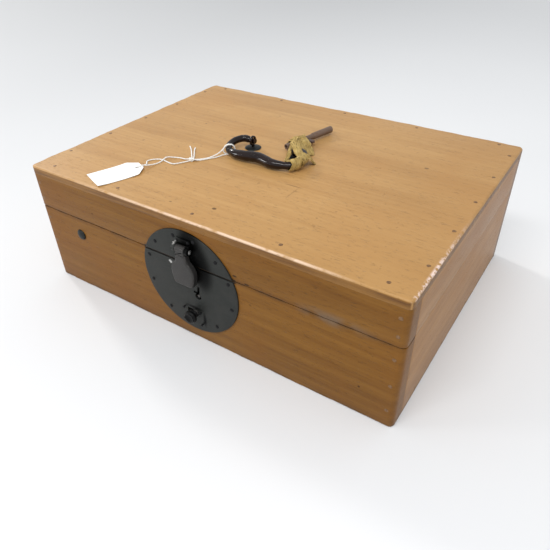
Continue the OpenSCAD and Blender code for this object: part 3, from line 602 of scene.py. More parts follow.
# painted highlights: a glint left of the hasp's lobe and one on the hinge leaf
plate_painted_glints = [((LOCK_X - 19.5, -148, 82.6), (1.9, 3, 1.6)), ((LOCK_X - 8.0, -149, 108.2), (1.6, 4, 1.5))]
plate_iron = iron("plate_iron", (0.0365, 0.0385, 0.0360), (0.060, 0.0595, 0.0555), 0.46, bump=0.00010,
    spec=0.08, painted_shadows=plate_painted_shadows, painted_glints=plate_painted_glints)
hasp_iron = iron("hasp_iron", (0.043, 0.041, 0.039), (0.068, 0.062, 0.058), 0.42, spec=0.35)
black_iron = iron("black_iron", (0.010, 0.010, 0.011), (0.016, 0.014, 0.014), 0.55, metal=0.2, spec=0.12)
stud_iron = iron("stud_iron", (0.017, 0.019, 0.018), (0.042, 0.042, 0.038), 0.50, spec=0.4)
bright_iron = iron("bright_iron", (0.24, 0.235, 0.225), (0.40, 0.39, 0.37), 0.34, metal=0.8)
handle_iron = iron("handle_iron", (0.006, 0.002, 0.002), (0.020, 0.007, 0.005), 0.15, metal=0.0, blotch=0.5,
    bump=0.00016, spec=0.36)
key_iron = iron("key_iron", (0.150, 0.098, 0.070), (0.230, 0.160, 0.120), 0.52, metal=0.2,
    rust=(0.14, 0.07, 0.045), spec=0.3)
bit_iron = iron("bit_iron", (0.095, 0.060, 0.052), (0.14, 0.09, 0.075), 0.55, metal=0.25,
    rust=(0.12, 0.05, 0.03))
print("irons ready")

# %% Build the cloth, string and paper
def cloth_finish():
    f = Finish("old_cloth")
    thread = f.node("ShaderNodeUVMap", {"uv_map": "thread"}, {}, 0)
    warp = f.node("ShaderNodeTexWave", {"bands_direction": "X"},
        {"Vector": thread, "Scale": 7.0, "Distortion": 0.8, "Detail": 1.0}, "Fac")
    weft = f.node("ShaderNodeTexWave", {"bands_direction": "Y"},
        {"Vector": thread, "Scale": 7.0, "Distortion": 0.8, "Detail": 1.0}, "Fac")
    weave = warp.maths("MAXIMUM", weft)
    stain = f.noise(120, 4, 0.65)
    tone = f.mix(stain.ramp(0.30, 0.75) * 0.8, (0.640, 0.450, 0.150), (0.410, 0.262, 0.075))
    tone = f.mix(f.noise(330, 3, 0.6).ramp(0.52, 0.72) * 0.35, tone, (0.66, 0.52, 0.25))
    tone = f.mix((1 - weave) * 0.25, tone, (0.20, 0.13, 0.04))
    pleat_shade_and_bump = f.noise(3.2, 3, 0.6, f.node("ShaderNodeUVMap", {"uv_map": "pleat_shade_and_bump"}, {}, 0))
    # painted shade in the creases of the pleats
    tone = f.mix(pleat_shade_and_bump.ramp(0.52, 0.70) * 0.75, tone, (0.115, 0.065, 0.020))
    # painted highlight on the crests of the pleats; the same pattern also bumps the cloth
    tone = f.mix(pleat_shade_and_bump.ramp(0.46, 0.34) * 0.45, tone, (0.70, 0.56, 0.27))
    return f.finish(tone, 0.86, height=weave * 0.5 + f.noise(500, 2) * 0.3 - pleat_shade_and_bump.ramp(0.45, 0.72) * 2.2,
        distance=0.00040, Sheen_Weight=0.02, Sheen_Roughness=0.5, Specular_IOR_Level=0.15)

def string_finish():
    f = Finish("cotton_string")
    fibre = f.noise(1500, 2, 0.6)
    tone = f.mix(fibre.ramp(0.3, 0.7), (0.86, 0.85, 0.82), (0.72, 0.70, 0.66))
    return f.finish(tone, 0.8, height=fibre, distance=0.00012, Sheen_Weight=0.2)

def paper_finish():
    f = Finish("tag_paper")
    pulp = f.noise(700, 3, 0.6)
    tone = f.mix(f.noise(38, 2).ramp(0.4, 0.75) * 0.4, (0.90, 0.90, 0.89), (0.83, 0.83, 0.81))
    return f.finish(tone, 0.62, height=pulp, distance=0.00004)

old_cloth, cotton, paper = cloth_finish(), string_finish(), paper_finish()
wear_this(string, cotton)
wear_this(string_knot, cotton)
print("all finishes ready")

# %% [markdown]
# ## Boards
#
# The real boards were planed by hand and have been rubbed ever since, so no edge is sharp and none
# is even. Each board is an outline that is swept through its thickness, and the size of its eased
# edge drifts along the edge. The lid's top is worn most. Boards that touch keep a small ease of
# their own, which is what draws the joint lines.

# %% The lid's top board
CORNER = 5
corners = [(x, y, CORNER) for x, y in ((-HALF_W, FRONT), (HALF_W, FRONT), (HALF_W, BACK), (-HALF_W, BACK))]
top_board = slab("top_board_worn", outline(corners, 5), BOARD_UNDER, LID_TOP, flat_lie, 0.12, 1.9, wear=0.55,
    steps=6, seed=3)
belongs(top_board, lid_top_wood, "lid", "lid_wood", "top_board")
print("top board", len(top_board.data.polygons), "faces")

# %% Front and side boards
def cut(thing, cutters):
    """Cuts holes with boolean modifiers and applies them."""
    for k, cutter in enumerate(cutters):
        hole_maker = thing.modifiers.new(f"cut{k}", "BOOLEAN")
        hole_maker.operation, hole_maker.solver, hole_maker.object = "DIFFERENCE", "EXACT", cutter
    bpy.context.view_layer.update()
    done = bpy.data.meshes.new_from_object(thing.evaluated_get(bpy.context.evaluated_depsgraph_get()))
    thing.modifiers.clear()
    old, thing.data = thing.data, done
    bpy.data.meshes.remove(old)
    for cutter in cutters:
        bpy.data.objects.remove(cutter, do_unlink=True)
    thing.data.set_sharp_from_angle(angle=radians(35))
    return thing

def block(low, high):
    """A plain cutter between two corners."""
    (a, b, c), (d, e, g) = low, high
    points = [(x, y, z) for x in (a, d) for y in (b, e) for z in (c, g)]
    return piece("cutter", points, [[0, 1, 3, 2], [4, 6, 7, 5], [0, 4, 5, 1], [2, 3, 7, 6], [0, 2, 6, 4],
        [1, 5, 7, 3]], False)

def pipe(x, z, radius, y0, y1, around=24):
    """A round cutter along Y."""
    points = [(x + radius * cos(a), y, z + radius * sin(a)) for y in (y0, y1) for a in round_angles(around)]
    return piece("cutter", points, rings_to_faces(2, around), False)

front_line = outline([(-HALF_W, FRONT, CORNER), (HALF_W, FRONT, CORNER), (HALF_W, INNER_FRONT, 0.3),
    (-HALF_W, INNER_FRONT, 0.3)], 6)
pocket_low, pocket_high = extent("lock_back_plate")
box_front = slab("box_front_worn", front_line, 0, RIM, flat_lie, 1.3, 0.75, wear=0.6, seed=7)
cut(box_front, [block((pocket_low[0] - 0.4, FRONT - 5, pocket_low[2] - 0.4),
    (pocket_high[0] + 0.4, pocket_high[1], pocket_high[2] + 0.4)),
    block((LOCK_X - 2.5, FRONT - 5, pocket_high[2] - 2), (LOCK_X + 2.5, FRONT + 8.5, RIM + 5))])
lid_front = slab("lid_front_worn", front_line, LID_FOOT, BOARD_UNDER, flat_lie, 0.75, 0.12, wear=0.6, seed=11)
belongs(box_front, front_wood, "box", "box_wood", "box_front")
belongs(lid_front, front_wood, "lid", "lid_wood", "lid_front")

for side, name in ((-1, "left"), (1, "right")):
    x0, x1 = sorted((side * INNER_SIDE, side * HALF_W))
    line = outline([(x0, INNER_FRONT, 0.35), (x1, INNER_FRONT, 0.35), (x1, INNER_BACK, 0.35),
        (x0, INNER_BACK, 0.35)], 6)
    for body, z0, z1, e0, e1 in (("box", 0, RIM, 1.2, 0.2), ("lid", RIM + 0.1, BOARD_UNDER, 0.2, 0.12)):
        board = slab(f"{body}_{name}_worn", line, z0, z1, flat_lie, e0, e1, wear=0.6, seed=side * 5 + z0)
        belongs(board, side_wood, body, f"{body}_wood", f"{body}_{name}")

back_wood = wood("back_wood", "x", FRONT_LIGHT, FRONT_DARK, FRONT_RED, 1.0, 0.42, shift=(2, 7, 5),
    edges=seam_dirt_and_gap_shade, sheen=0.15)
for node in ("box_back", "lid_back"):
    wear_this(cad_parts[node], back_wood)
wear_this(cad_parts["base_board"], inner_wood)
print("boards ready")

# %% [markdown]
# ## Pegs
#
# Wooden pegs hold the boards together. They were cut flush, but their end grain has darkened and
# stands a hair proud, with a thin dark line round it. Each is a short bar with a domed, slightly
# uneven end, turned from rings so that no two are quite the same.

# %% Peg finish and shape
def peg_finish():
    f = Finish("peg_end_grain")
    dots = f.noise(800, 2, 0.5)
    tone = f.mix(dots.ramp(0.35, 0.65), (0.215, 0.110, 0.038), (0.110, 0.052, 0.018))
    return f.finish(tone, 0.5, height=dots, distance=0.0002)

peg_wood = peg_finish()

def pegs(name, body, places, direction, length, *nodes, radius=1.8):
    """One mesh of many pegs. direction points out of the wood."""
    out = Vector(direction)
    a = out.orthogonal().normalized()
    b = out.cross(a)
    points, faces = [], []
    for k, p in enumerate(places):
        size = radius * (0.97 + 0.05 * sin(k * 2.4))
        rings = [(size, -length), (size, -0.25), (size * 0.98, 0.04), (size * 0.8, 0.10), (size * 0.4, 0.14)]
        start = len(points)
        for rr, h in rings:
            for t in round_angles(14):
                points.append(Vector(p) + out * h + (a * cos(t) + b * sin(t)) * rr
                    * (1 + 0.05 * sin(3 * t + k)))
        faces += [[start + v for v in face] for face in rings_to_faces(len(rings), 14)]
    return belongs(piece(name, points, faces), peg_wood, body, "peg_wood", *nodes)

lengthwise = [k * 88.5 for k in range(-2, 3)]
crosswise = [FRONT + 44.5 + k * 54.5 for k in range(5)]
EDGE = HALF_W - 7
top_places = [(x, y, LID_TOP) for x in lengthwise for y in (FRONT + 11.5, BACK - 7)]
top_places += [(s * EDGE, y, LID_TOP) for s in (-1, 1) for y in crosswise]
pegs("top_pegs_worn", "lid", top_places, (0, 0, 1), 20, "top_pegs")
for body, heights in (("box", (18.5, 46, 74)), ("lid", (97, 114))):
    front, back = ([(s * EDGE, y, z) for s in (-1, 1) for z in heights] for y in (FRONT, BACK))
    pegs(f"{body}_pegs_front", body, front, (0, -1, 0), 28, f"{body}_pegs")
    pegs(f"{body}_pegs_back", body, back, (0, 1, 0), 22)
right, left = ([(x, y, 4.5) for y in (-100, -35, 35, 100)] for x in (HALF_W, -HALF_W))
pegs("base_pegs_right", "box", right, (1, 0, 0), 24, "base_pegs")
pegs("base_pegs_left", "box", left, (-1, 0, 0), 24)
print("pegs:", len(top_places) + 20 + 8)

# %% [markdown]
# ## The round lock plate
#
# The plate is one iron disc that was cut in two at the seam, so that the upper part lifts with the
# lid. Each part is an outline of arc and chord with a thin worn rim. The keyhole, the staple's slot
# and the knob's slot are cut through it, because the dark behind them is what makes them read.

# %% Two parts of the disc
plate_r = (extent("plate_lower")[1][0] - extent("plate_lower")[0][0]) / 2
PLATE_Z = 66

def arc(cx, cz, radius, start, stop, parts):
    return [Vector((cx + radius * cos(radians(start + (stop - start) * k / parts)),
        cz + radius * sin(radians(start + (stop - start) * k / parts)))) for k in range(parts + 1)]

upper_edge, lower_edge = extent("plate_upper")[0][2], extent("plate_lower")[1][2]
dip = degrees(asin((upper_edge - PLATE_Z) / plate_r))
upper_line = arc(LOCK_X, PLATE_Z, plate_r, dip, 180 - dip, 60)
dip = degrees(asin((lower_edge - PLATE_Z) / plate_r))
lower_line = arc(LOCK_X, PLATE_Z, plate_r, 180 - dip, 360 + dip, 90)
plate_upper = slab("plate_upper_worn", upper_line, -FRONT, -PLATE_FACE, upright_lie, 0.1, 0.55, wear=0.5,
    seed=21)
plate_lower = slab("plate_lower_worn", lower_line, -FRONT, -PLATE_FACE, upright_lie, 0.1, 0.55, wear=0.5,
    seed=22)
KEY_X, KEY_Z = LOCK_X + 8.8, 54
slot_line = [(-1.4, 53, 0), (1.5, 53, 0), (2.9, 65.4, 0.6), (0.4, 65.7, 0.6)]
leaning_slot = slab("cutter", outline([(KEY_X + a, b, c) for a, b, c in slot_line], 3), -FRONT - 3,
    -PLATE_FACE + 3, upright_lie, 0, 0)
cut(plate_lower, [pipe(KEY_X, KEY_Z, 3.4, PLATE_FACE - 3, FRONT + 3), leaning_slot,
    block((KEY_X - 4.6, PLATE_FACE - 3, 57), (KEY_X + 0.5, FRONT + 3, 59.2)),
    block((LOCK_X - 2.5, PLATE_FACE - 3, 69), (LOCK_X + 2.5, FRONT + 3, 95)),
    block((LOCK_X - 6.4, PLATE_FACE - 3, 30.2), (LOCK_X + 6.4, FRONT + 3, 35.8))])
belongs(plate_upper, plate_iron, "lid", "lock_iron", "plate_upper")
belongs(plate_lower, plate_iron, "box", "lock_iron", "plate_lower")

print("lock plate, radius", round(plate_r, 1), "mm")

# %% Nails round the rim
NAIL_RING = 48

def nails(name, body, angles, node):
    points, faces = [], []
    for k, angle in enumerate(angles):
        cx = LOCK_X + NAIL_RING * cos(radians(angle))
        cz = PLATE_Z + NAIL_RING * sin(radians(angle))
        start = len(points)
        rings = [(1.0, -8.5), (1.0, -0.2), (1.85, 0.05), (1.7, 0.40), (1.1, 0.62), (0.35, 0.68)]
        for rr, h in rings:
            for t in round_angles(14):
                grow = 1 + 0.07 * sin(2 * t + k * 1.7) + 0.04 * sin(5 * t + k)
                points.append((cx + rr * grow * cos(t), PLATE_FACE - h, cz + rr * grow * sin(t)))
        faces += [[start + v for v in face] for face in rings_to_faces(len(rings), 14)]
    belongs(piece(name, points, faces), black_iron, body, "nail_iron", node)

nails("upper_nails", "lid", (46, 77, 104, 137), "plate_upper_nails")
nails("lower_nails", "box", (20, -13, -55, -126, -164, 162), "plate_lower_nails")
print("10 nails, on a circle of", NAIL_RING, "mm")

# %% [markdown]
# ## Hasp
#
# A thick forged hasp hangs from the upper plate and covers the seam. It has a narrow neck under its
# knuckle and swells to a round lobe with soft shoulders. One outline with a large ease gives its
# forged look, and a low crown catches the light in the middle of the face.

# %% Hasp
hasp_low, hasp_high = extent("hasp")
leaf_low, leaf_high = extent("hasp_leaf")
PIN_Y, PIN_Z = -151.6, 104.5
half = [(0, 67.4), (5.0, 67.4), (8.6, 67.7), (10.4, 69.2), (11.3, 72.0), (12.2, 75.6), (12.85, 79.6),
    (12.9, 82.2), (12.3, 85.2),
    (11.0, 88.0), (9.2, 90.4), (7.4, 92.2), (6.4, 94.2), (6.05, 96.6), (5.8, 99.2), (5.3, 100.3)]
right_half = smooth_line([(u, v, 0) for u, v in half], 1.2)
line = [Vector((LOCK_X + p.x, p.y)) for p in right_half] + [Vector((LOCK_X - p.x, p.y))
    for p in right_half[::-1][:-1]]
lobe = slab("hasp_forged", line, -hasp_high[1] + 1.2, -hasp_low[1] - 0.15, upright_lie, 0.5, 2.0, wear=0.25,
    steps=7, crown=0.25, seed=31, angle=60)

def across(cx, length, radius, bore, name, around=32):
    """A knuckle along X round the hasp's pin."""
    profile = [(bore, -length / 2), (radius - 0.35, -length / 2), (radius, -length / 2 + 0.35),
        (radius, length / 2 - 0.35), (radius - 0.35, length / 2), (bore, length / 2)]
    return turned(name, profile, lambda u, v, w: (cx + w, PIN_Y + u, PIN_Z + v), around, 0.02, cx)

knuckle = across(LOCK_X, 10, 3.6, 1.65, "hasp_knuckle")
tongue_line = outline([(LOCK_X - 5, 99.2, 0.4), (LOCK_X + 5, 99.2, 0.4), (LOCK_X + 5, 104.5, 0.2),
    (LOCK_X - 5, 104.5, 0.2)], 3)
tongue = slab("hasp_tongue", tongue_line, 151.8, -hasp_low[1] - 0.15, upright_lie, 0.3, 0.9, wear=0.2, seed=33)
for thing in (knuckle, tongue):
    wear_this(thing, hasp_iron)
    thing.parent = lobe
belongs(lobe, hasp_iron, "hasp", "lock_iron", "hasp")
wear_this(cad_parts["hasp_staple"], bright_iron)

print("hasp ready")

# %% Hinge leaf, pin and rivets of the hasp
leaf_line = outline([(LOCK_X - 8.4, 108.7, 0.4), (LOCK_X + 8.4, 108.7, 0.4), (LOCK_X + 8.4, 113, 1.4),
    (LOCK_X - 8.4, 113, 1.4)], 3)
leaf = slab("hasp_leaf_worn", leaf_line, -PLATE_FACE, -leaf_high[1] + 1.4, upright_lie, 0.1, 0.5, wear=0.4,
    seed=35)
for s in (-1, 1):
    cx = LOCK_X + s * 7.15
    tab = slab(f"leaf_tab_{s}", outline([(cx - 1.9, 101.6, 0.3), (cx + 1.9, 101.6, 0.3), (cx + 1.9, 109.2, 0.3),
        (cx - 1.9, 109.2, 0.3)], 3), -PLATE_FACE, 151.6, upright_lie, 0.1, 0.6, wear=0.2, seed=36 + s)
    end = across(cx, 3.8, 3.6, 1.65, f"leaf_knuckle_{s}")
    for thing in (tab, end):
        wear_this(thing, plate_iron)
        thing.parent = leaf
belongs(leaf, plate_iron, "lid", "lock_iron", "hasp_leaf")
pin_profile = [(0.3, -10.6), (1.3, -10.45), (2.0, -9.9), (1.95, -9.5), (1.6, -9.4), (1.6, 9.4), (1.95, 9.5),
    (2.0, 9.9), (1.3, 10.45), (0.3, 10.6)]
pin = turned("hasp_pin_worn", pin_profile, lambda u, v, w: (LOCK_X + w, PIN_Y + u, PIN_Z + v), 20, 0.06, 2)
belongs(pin, bright_iron, "lid", "worn_steel", "hasp_pin")

def rivet(name, x, z, base_y, shank, body, node, r=1.35):
    profile = [(0.8, -shank), (0.8, 0.0), (r, 0.02), (r * 0.95, 0.22), (r * 0.6, 0.42), (r * 0.15, 0.48)]
    thing = turned(name, profile, lambda u, v, w: (x + u, base_y - w, z + v), 14, 0.1, x)
    belongs(thing, black_iron, body, "nail_iron", node)

for s in (-1, 1):
    rivet(f"leaf_rivet_{s}", LOCK_X + 6 * s, 110.9, -149.0, 2.8, "lid", "hasp_leaf_rivets")

# %% [markdown]
# ## Knob, its plate and the stud
#
# A small turned knob slides the bolt. It stands on a raised plate that is wider at its foot and is
# nailed at the corners. The round iron stud at the left of the front is hand-made, so it is turned
# with some wobble and comes out a little square.

# %% Knob plate, knob, stud
plate_top = extent("knob_plate")[0][1]
kp = [(-12.6, 19.5, 0.8), (12.6, 19.5, 0.8), (13.2, 20.4, 0.8), (12, 36.6, 0.8), (11, 37.6, 0.8),
    (-11, 37.6, 0.8), (-12, 36.6, 0.8), (-13.2, 20.4, 0.8)]
knob_plate = slab("knob_plate_worn", outline([(LOCK_X + a, b, 0.4) for a, b, c in kp], 2.5), -PLATE_FACE,
    -plate_top, upright_lie, 0.1, 0.7, wear=0.4, seed=41)
slot_cut = slab("cutter", outline([(-14.3, 30.2, 2.7), (-1.7, 30.2, 2.7), (-1.7, 35.8, 2.7),
    (-14.3, 35.8, 2.7)], 3), 140, 155, upright_lie, 0, 0)
cut(knob_plate, [slot_cut])
belongs(knob_plate, plate_iron, "box", "lock_iron", "knob_plate")
for k, (dx, z, deep) in enumerate(((-9.6, 35.3, 3.4), (9.6, 35.3, 3.4), (-10.4, 21.6, 10), (10.4, 21.6, 10))):
    rivet(f"knob_plate_nail_{k}", LOCK_X + dx, z, plate_top, deep, "box", "knob_plate_rivets")

knob_high = extent("bolt_knob")[1]
knob_profile = [(2.5, 0), (4.3, 0.05), (4.1, 0.9), (3.7, 1.9), (4.2, 2.8), (5.6, 3.4), (6.4, 4.4), (6.6, 5.4),
    (6.35, 6.4), (5.6, 7.3), (4.8, 7.9), (4.0, 7.6), (3.2, 7.0), (2.0, 6.7), (0.4, 6.6)]
KNOB_X = middle_x("bolt_knob")
knob = turned("knob_turned", knob_profile, lambda u, v, w: (KNOB_X + u, knob_high[1] - w, 33 + v), 36, 0.03, 5)
knob_iron = iron("knob_iron", (0.004, 0.004, 0.004), (0.010, 0.009, 0.008), 0.45, metal=0.1, blotch=0.5,
    bump=0.0002, spec=0.14)
belongs(knob, knob_iron, "bolt", "handle_iron", "bolt_knob")

STUD_X = middle_x("front_stud")
stud_profile = [(2, -12.5), (2, -0.2), (5.5, 0.0), (5.5, 0.6), (5.1, 1.3), (3.9, 1.95), (2.2, 2.35), (0.4, 2.5)]
stud = turned("front_stud_worn", stud_profile, lambda u, v, w: (STUD_X + u, FRONT - w, 68 + v), 32, 0.10, 8)
belongs(stud, stud_iron, "box", "lock_iron", "front_stud")

inner_iron = iron("inner_iron", (0.08, 0.075, 0.07), (0.13, 0.12, 0.11), 0.5, rust=(0.10, 0.05, 0.03))
for node in ("bolt", "lock_back_plate", "lock_posts", "key_post", "bolt_guides", "bolt_spring",
        "hinge_lower_leaves", "hinge_upper_leaves", "hinge_pins", "hinge_lower_nails", "hinge_upper_nails"):
    wear_this(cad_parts[node], inner_iron)
print("front ironwork ready")

# %% [markdown]
# ## Bail handle
#
# The handle was forged from one bar: thin ends that turn in the eyes, arms that swing out and
# forward, and a grip that swells in the middle and was hammered a little out of line. A round bar
# whose radius changes along a line does all of it in one mesh.

# %% Handle
PIVOT_Y, PIVOT_Z = 2.0, 139.0
HANDLE_X = middle_x("handle")
REACH, GRIP_R, CLEAR = 30, 5.2, 0.4
droop = asin((PIVOT_Z - LID_TOP - GRIP_R - CLEAR) / REACH)

def in_handle(u, v, w=0.0):
    """A point of the lying handle: u along the pivot, v forward from it, w above the bail's plane."""
    return (HANDLE_X + u, PIVOT_Y - v * cos(droop) - w * sin(droop), PIVOT_Z - v * sin(droop) + w * cos(droop))

half_bail = [(22.2, 0, 0), (25.5, 0, 0), (29.0, 0, 0.2), (33.4, 0.3, 0.6), (37.2, 2.6, 0.9), (40.0, 7.4, 0.9),
    (41.3, 13.0, 0.6), (40.8, 18.4, 0.3), (38.6, 23.4, 0.1), (34.8, 27.6, 0)]
grip = [(29.2, 29.4, 0), (23.0, 30.9, -0.1), (16.5, 31.0, 0.1), (9.0, 29.4, 0.5), (1.5, 28.5, 0.9),
    (-6.0, 29.6, 0.9), (-14.0, 31.0, 0.6), (-22.0, 31.2, 0.3), (-29.0, 29.9, 0.1)]
knots = [in_handle(*p) for p in half_bail + grip] + [in_handle(-u, v, w) for u, v, w in half_bail[::-1]]
handle_line = smooth_line(knots, 1.0)
handle_run = sum((b - a).length for a, b in zip(handle_line, handle_line[1:]))

def handle_radius(t):
    s = abs(t - 0.5) * handle_run
    end = handle_run / 2 - s
    grip_swell = 3.55 + 1.65 * max(0.0, 1 - (s / 30.0) ** 2) ** 0.7
    thin = min(1.0, max(0.0, (end - 5.0) / 4.0))
    thin = thin * thin * (3 - 2 * thin)
    return 2.48 * (1 - thin) + grip_swell * thin

handle = bar("handle_forged", handle_line, handle_radius, around=28)
for v in handle.data.vertices:
    p = v.co * 1000
    v.co += v.normal * MM * 0.16 * noise.noise(p * 0.16)
belongs(handle, handle_iron, "handle", "handle_iron", "handle")

print("handle ready, run", round(handle_run), "mm")

# %% Split-pin eyes and washers
for s, name in ((-1, "left"), (1, "right")):
    x = HANDLE_X + s * 25.5
    loop = [(x + 0.25 * sin(3 * a), PIVOT_Y + 3.85 * cos(a), PIVOT_Z + 3.85 * sin(a))
        for a in [radians(-90 + 12 * k) for k in range(31)]]
    ring = bar(f"eye_ring_{name}", [Vector(p) for p in loop], lambda t: 1.22, around=12)
    legs = []
    for d in (-1, 1):
        way = [(x, 0.9 * d, 136.2), (x, 0.95 * d, 133), (x, 0.95 * d, 127), (x, 0.95 * d, 123.4),
            (x, 1.7 * d, 122.1), (x, 5, 121.9), (x, 10.8, 122.0)]
        way = [(a, PIVOT_Y + (b if k < 5 else b * d), c) for k, (a, b, c) in enumerate(way)]
        legs.append(bar(f"eye_leg_{name}_{'b' if d > 0 else 'f'}", smooth_line(way, 1), lambda t: 0.92,
            around=10))
    washer = turned(f"washer_{name}", [(2.0, 0.02), (8.0, 0.02), (8.4, 0.4), (8.0, 0.9), (6.4, 1.35),
        (4.2, 1.75), (2.0, 1.8)], lambda u, v, w: (x + u, PIVOT_Y + v, LID_TOP + w), 36, 0.05, x)
    belongs(ring, handle_iron, "lid", "handle_iron", "handle_eyes")
    for leg in legs:
        belongs(leg, handle_iron, "lid", "handle_iron")
    belongs(washer, stud_iron, "lid", "handle_iron", "handle_washers")
print("two eyes and washers ready")

# %% [markdown]
# ## Key
#
# The key is a drilled stem with a flag bit, and its grip is a strip of iron rolled into a tube, so a
# seam runs along the tube and its far end is open. The rolled section is drawn as a spiral strip and
# swept, because that seam is the part's main detail.

# %% Key
KEY_AT, KEY_TURN = Vector((-0.5, 12.0, 136.0)), radians(14)
key_way, key_side = Vector((sin(KEY_TURN), cos(KEY_TURN), 0)), Vector((cos(KEY_TURN), -sin(KEY_TURN), 0))

def on_key(u, v, w):
    """u to the key's right, v up, w along it from the stem's open end."""
    return KEY_AT + key_side * u + Vector((0, 0, 1)) * v + key_way * w

stem_profile = [(1.6, 9), (1.6, 0.2), (1.8, 0), (2.6, 0), (2.9, 0.5), (2.85, 10), (2.7, 22), (2.75, 34),
    (2.9, 38), (2.9, 41), (1.0, 41.4)]
stem = turned("key_stem_worn", stem_profile, on_key, 24, 0.03, 3)
bit_line = outline([(2.4, 21.2, 0.3), (11.4, 21.2, 0.8), (11.4, 24.8, 0.3), (7.0, 24.8, 0.3), (7.0, 26.4, 0.3),
    (11.4, 26.4, 0.3), (11.4, 30.2, 0.8), (2.4, 30.2, 0.3)], 2)
bit = slab("key_bit_worn", bit_line, -1.25, 1.15, lambda u, v, w: on_key(u, w, v), 0.4, 0.4, wear=0.4, seed=51)
strip_out = [(3.5 + 0.02 * k / 40, radians(115 + 372 * k / 40)) for k in range(41)]
section = [(r * cos(a), r * sin(a)) for r, a in strip_out]
inside = [(r - 0.95 - (0.3 if k > 36 else 0), a) for k, (r, a) in enumerate(strip_out)]
section += [(r * cos(a), r * sin(a)) for r, a in inside[::-1]]
rings = []
for w, swell in ((38, 0.90), (38.6, 0.97), (44, 0.99), (52, 1.0), (59, 1.0), (64.5, 1.015), (65.6, 1.0),
        (66, 0.97)):
    for u, v in section:
        rings.append(on_key(u * swell, v * swell, w + 0.15 * sin(u * 1.1)))
tube = piece("key_tube_rolled", rings, rings_to_faces(8, len(section)))
belongs(stem, key_iron, "lid", "key_iron", "key_stem")
belongs(bit, bit_iron, "lid", "key_iron", "key_bit")
belongs(tube, key_iron, "lid", "key_iron", "key_handle")
print("key ready")

# %% [markdown]
# ## Cloth tie
#
# A torn strip of old khaki cloth ties the key to the handle. It is wound round the handle's right
# arm, crosses to the key, and is bunched and knotted round the stem with two short ends. A strip is
# modelled as a ribbon that follows a line, with its own width direction, a cupped section and folds
# of noise. The turns on the arm ride with the handle, and the knot rides with the lid.

# %% Ribbon helper
def ribbon(name, knots, faces_to, width, cup=0.6, thick=0.7, crumple=0.5, seed=0.0, step=0.8):
    """A cloth strip along knots. faces_to(point) gives the direction that its outer side faces."""
    line = smooth_line(knots, step)
    run = [0.0]
    for a, b in zip(line, line[1:]):
        run.append(run[-1] + (b - a).length)
    across_n, points = 11, []
    for i, p in enumerate(line):
        t = (line[min(i + 1, len(line) - 1)] - line[max(i - 1, 0)]).normalized()
        out = faces_to(p)
        out = (out - t * out.dot(t)).normalized()
        side = t.cross(out)
        w = width(run[i] / run[-1]) if callable(width) else width
        for sign in (1, -1):
            for k in (range(across_n) if sign > 0 else range(across_n - 1, -1, -1)):
                s = k / (across_n - 1) * 2 - 1
                q = Vector((run[i] * 0.22, s * 1.3, seed))
                fold = crumple * (noise.noise(q) * 1.3 + noise.noise(q * 2.7) * 0.6)
                edge = 0.35 * noise.noise(Vector((run[i] * 0.5, sign * 3 + s, seed + 9)))
                points.append(p + side * (s * (w / 2 + edge)) + out
                    * (fold - cup * s * s + sign * thick / 2 * (1 - 0.35 * abs(s))))
    around = across_n * 2
    thing = piece(name, points, rings_to_faces(len(line), around), angle=75)
    thing.data.uv_layers.new(name="thread")
    flat = {}
    for i in range(len(line)):
        for j in range(around):
            k = j if j < across_n else 2 * across_n - 1 - j
            flat[i * around + j] = (run[i] * 0.1, k * width_of(width) / (across_n - 1) * 0.1)
    # coordinates for the pleats' painted shade, painted highlight and bump
    folds = thing.data.uv_layers.new(name="pleat_shade_and_bump")
    uv = thing.data.uv_layers["thread"]
    for loop in thing.data.loops:
        u, v = flat[loop.vertex_index]
        uv.data[loop.index].uv = (u, v)
        folds.data[loop.index].uv = (u * 0.35 + seed, v * 3.4)
    soft = thing.modifiers.new("soft", "SUBSURF")
    soft.levels = soft.render_levels = 1
    wear_this(thing, old_cloth)
    return thing

def width_of(width):
    return width(0.5) if callable(width) else width

print("ribbon function ready")

# %% Turns round the handle's right arm
def on_bar(t):
    """The handle's point, direction and two sides, t of the way along it."""
    i = min(len(handle_line) - 2, int(t * (len(handle_line) - 1)))
    return handle_line[i], bar_frames[i]

def from_bar(p):
    nearest = min(handle_line, key=lambda q: (q - p).length_squared)
    return p - nearest

bar_frames = frames_along(handle_line)
wrap_knots, TURNS = [], 4
for k in range(TURNS * 10 + 1):
    t = k / (TURNS * 10)
    p, (way, side, up) = on_bar(0.150 + 0.130 * t)
    a = radians(70 + 360 * TURNS * t)
    r = 4.6 + 0.4 * sin(2.3 * a) + 0.5 * sin(pi * t)
    q = p + (side * cos(a) + up * sin(a)) * r + way * 0.8 * sin(1.7 * a)
    wrap_knots.append((q.x, q.y, max(q.z, LID_TOP + 0.9)))
wraps = ribbon("tie_wraps", wrap_knots, from_bar, lambda t: 6.4 - 0.8 * t, cup=0.35, crumple=0.45, seed=61)
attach(wraps, "handle")
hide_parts("tie_wrap")
end_knots = [wrap_knots[4], (33.8, -6.6, 141.6), (36.6, -2.6, 138.6), (37.4, 0.6, 134.6), (36.6, 3.2, 132.3)]
wrap_end = ribbon("tie_wrap_end", end_knots, lambda p: Vector((0.5, 0.2, 0.8)), lambda t: 6.0 + 3.4 * t,
    cup=0.9, crumple=0.8, seed=63)
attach(wrap_end, "handle")

print("cloth turns:", TURNS)

# %% The crossing and the knot on the key
crossing_knots = [(31.6, -9.4, 142.0), (27.6, -6.8, 143.0), (23.8, -3.4, 143.6), (19.8, 0.6, 144.6),
    (16.0, 5.2, 145.2), (12.0, 10.4, 144.4), (8.0, 15.6, 143.0), (4.0, 19.0, 141.2)]
crossing = ribbon("tie_crossing", crossing_knots, lambda p: Vector((0.3, -0.45, 0.8)), lambda t: 8.0 + 4.0 * t,
    cup=1.9, crumple=0.9, seed=67)
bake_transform(crossing)

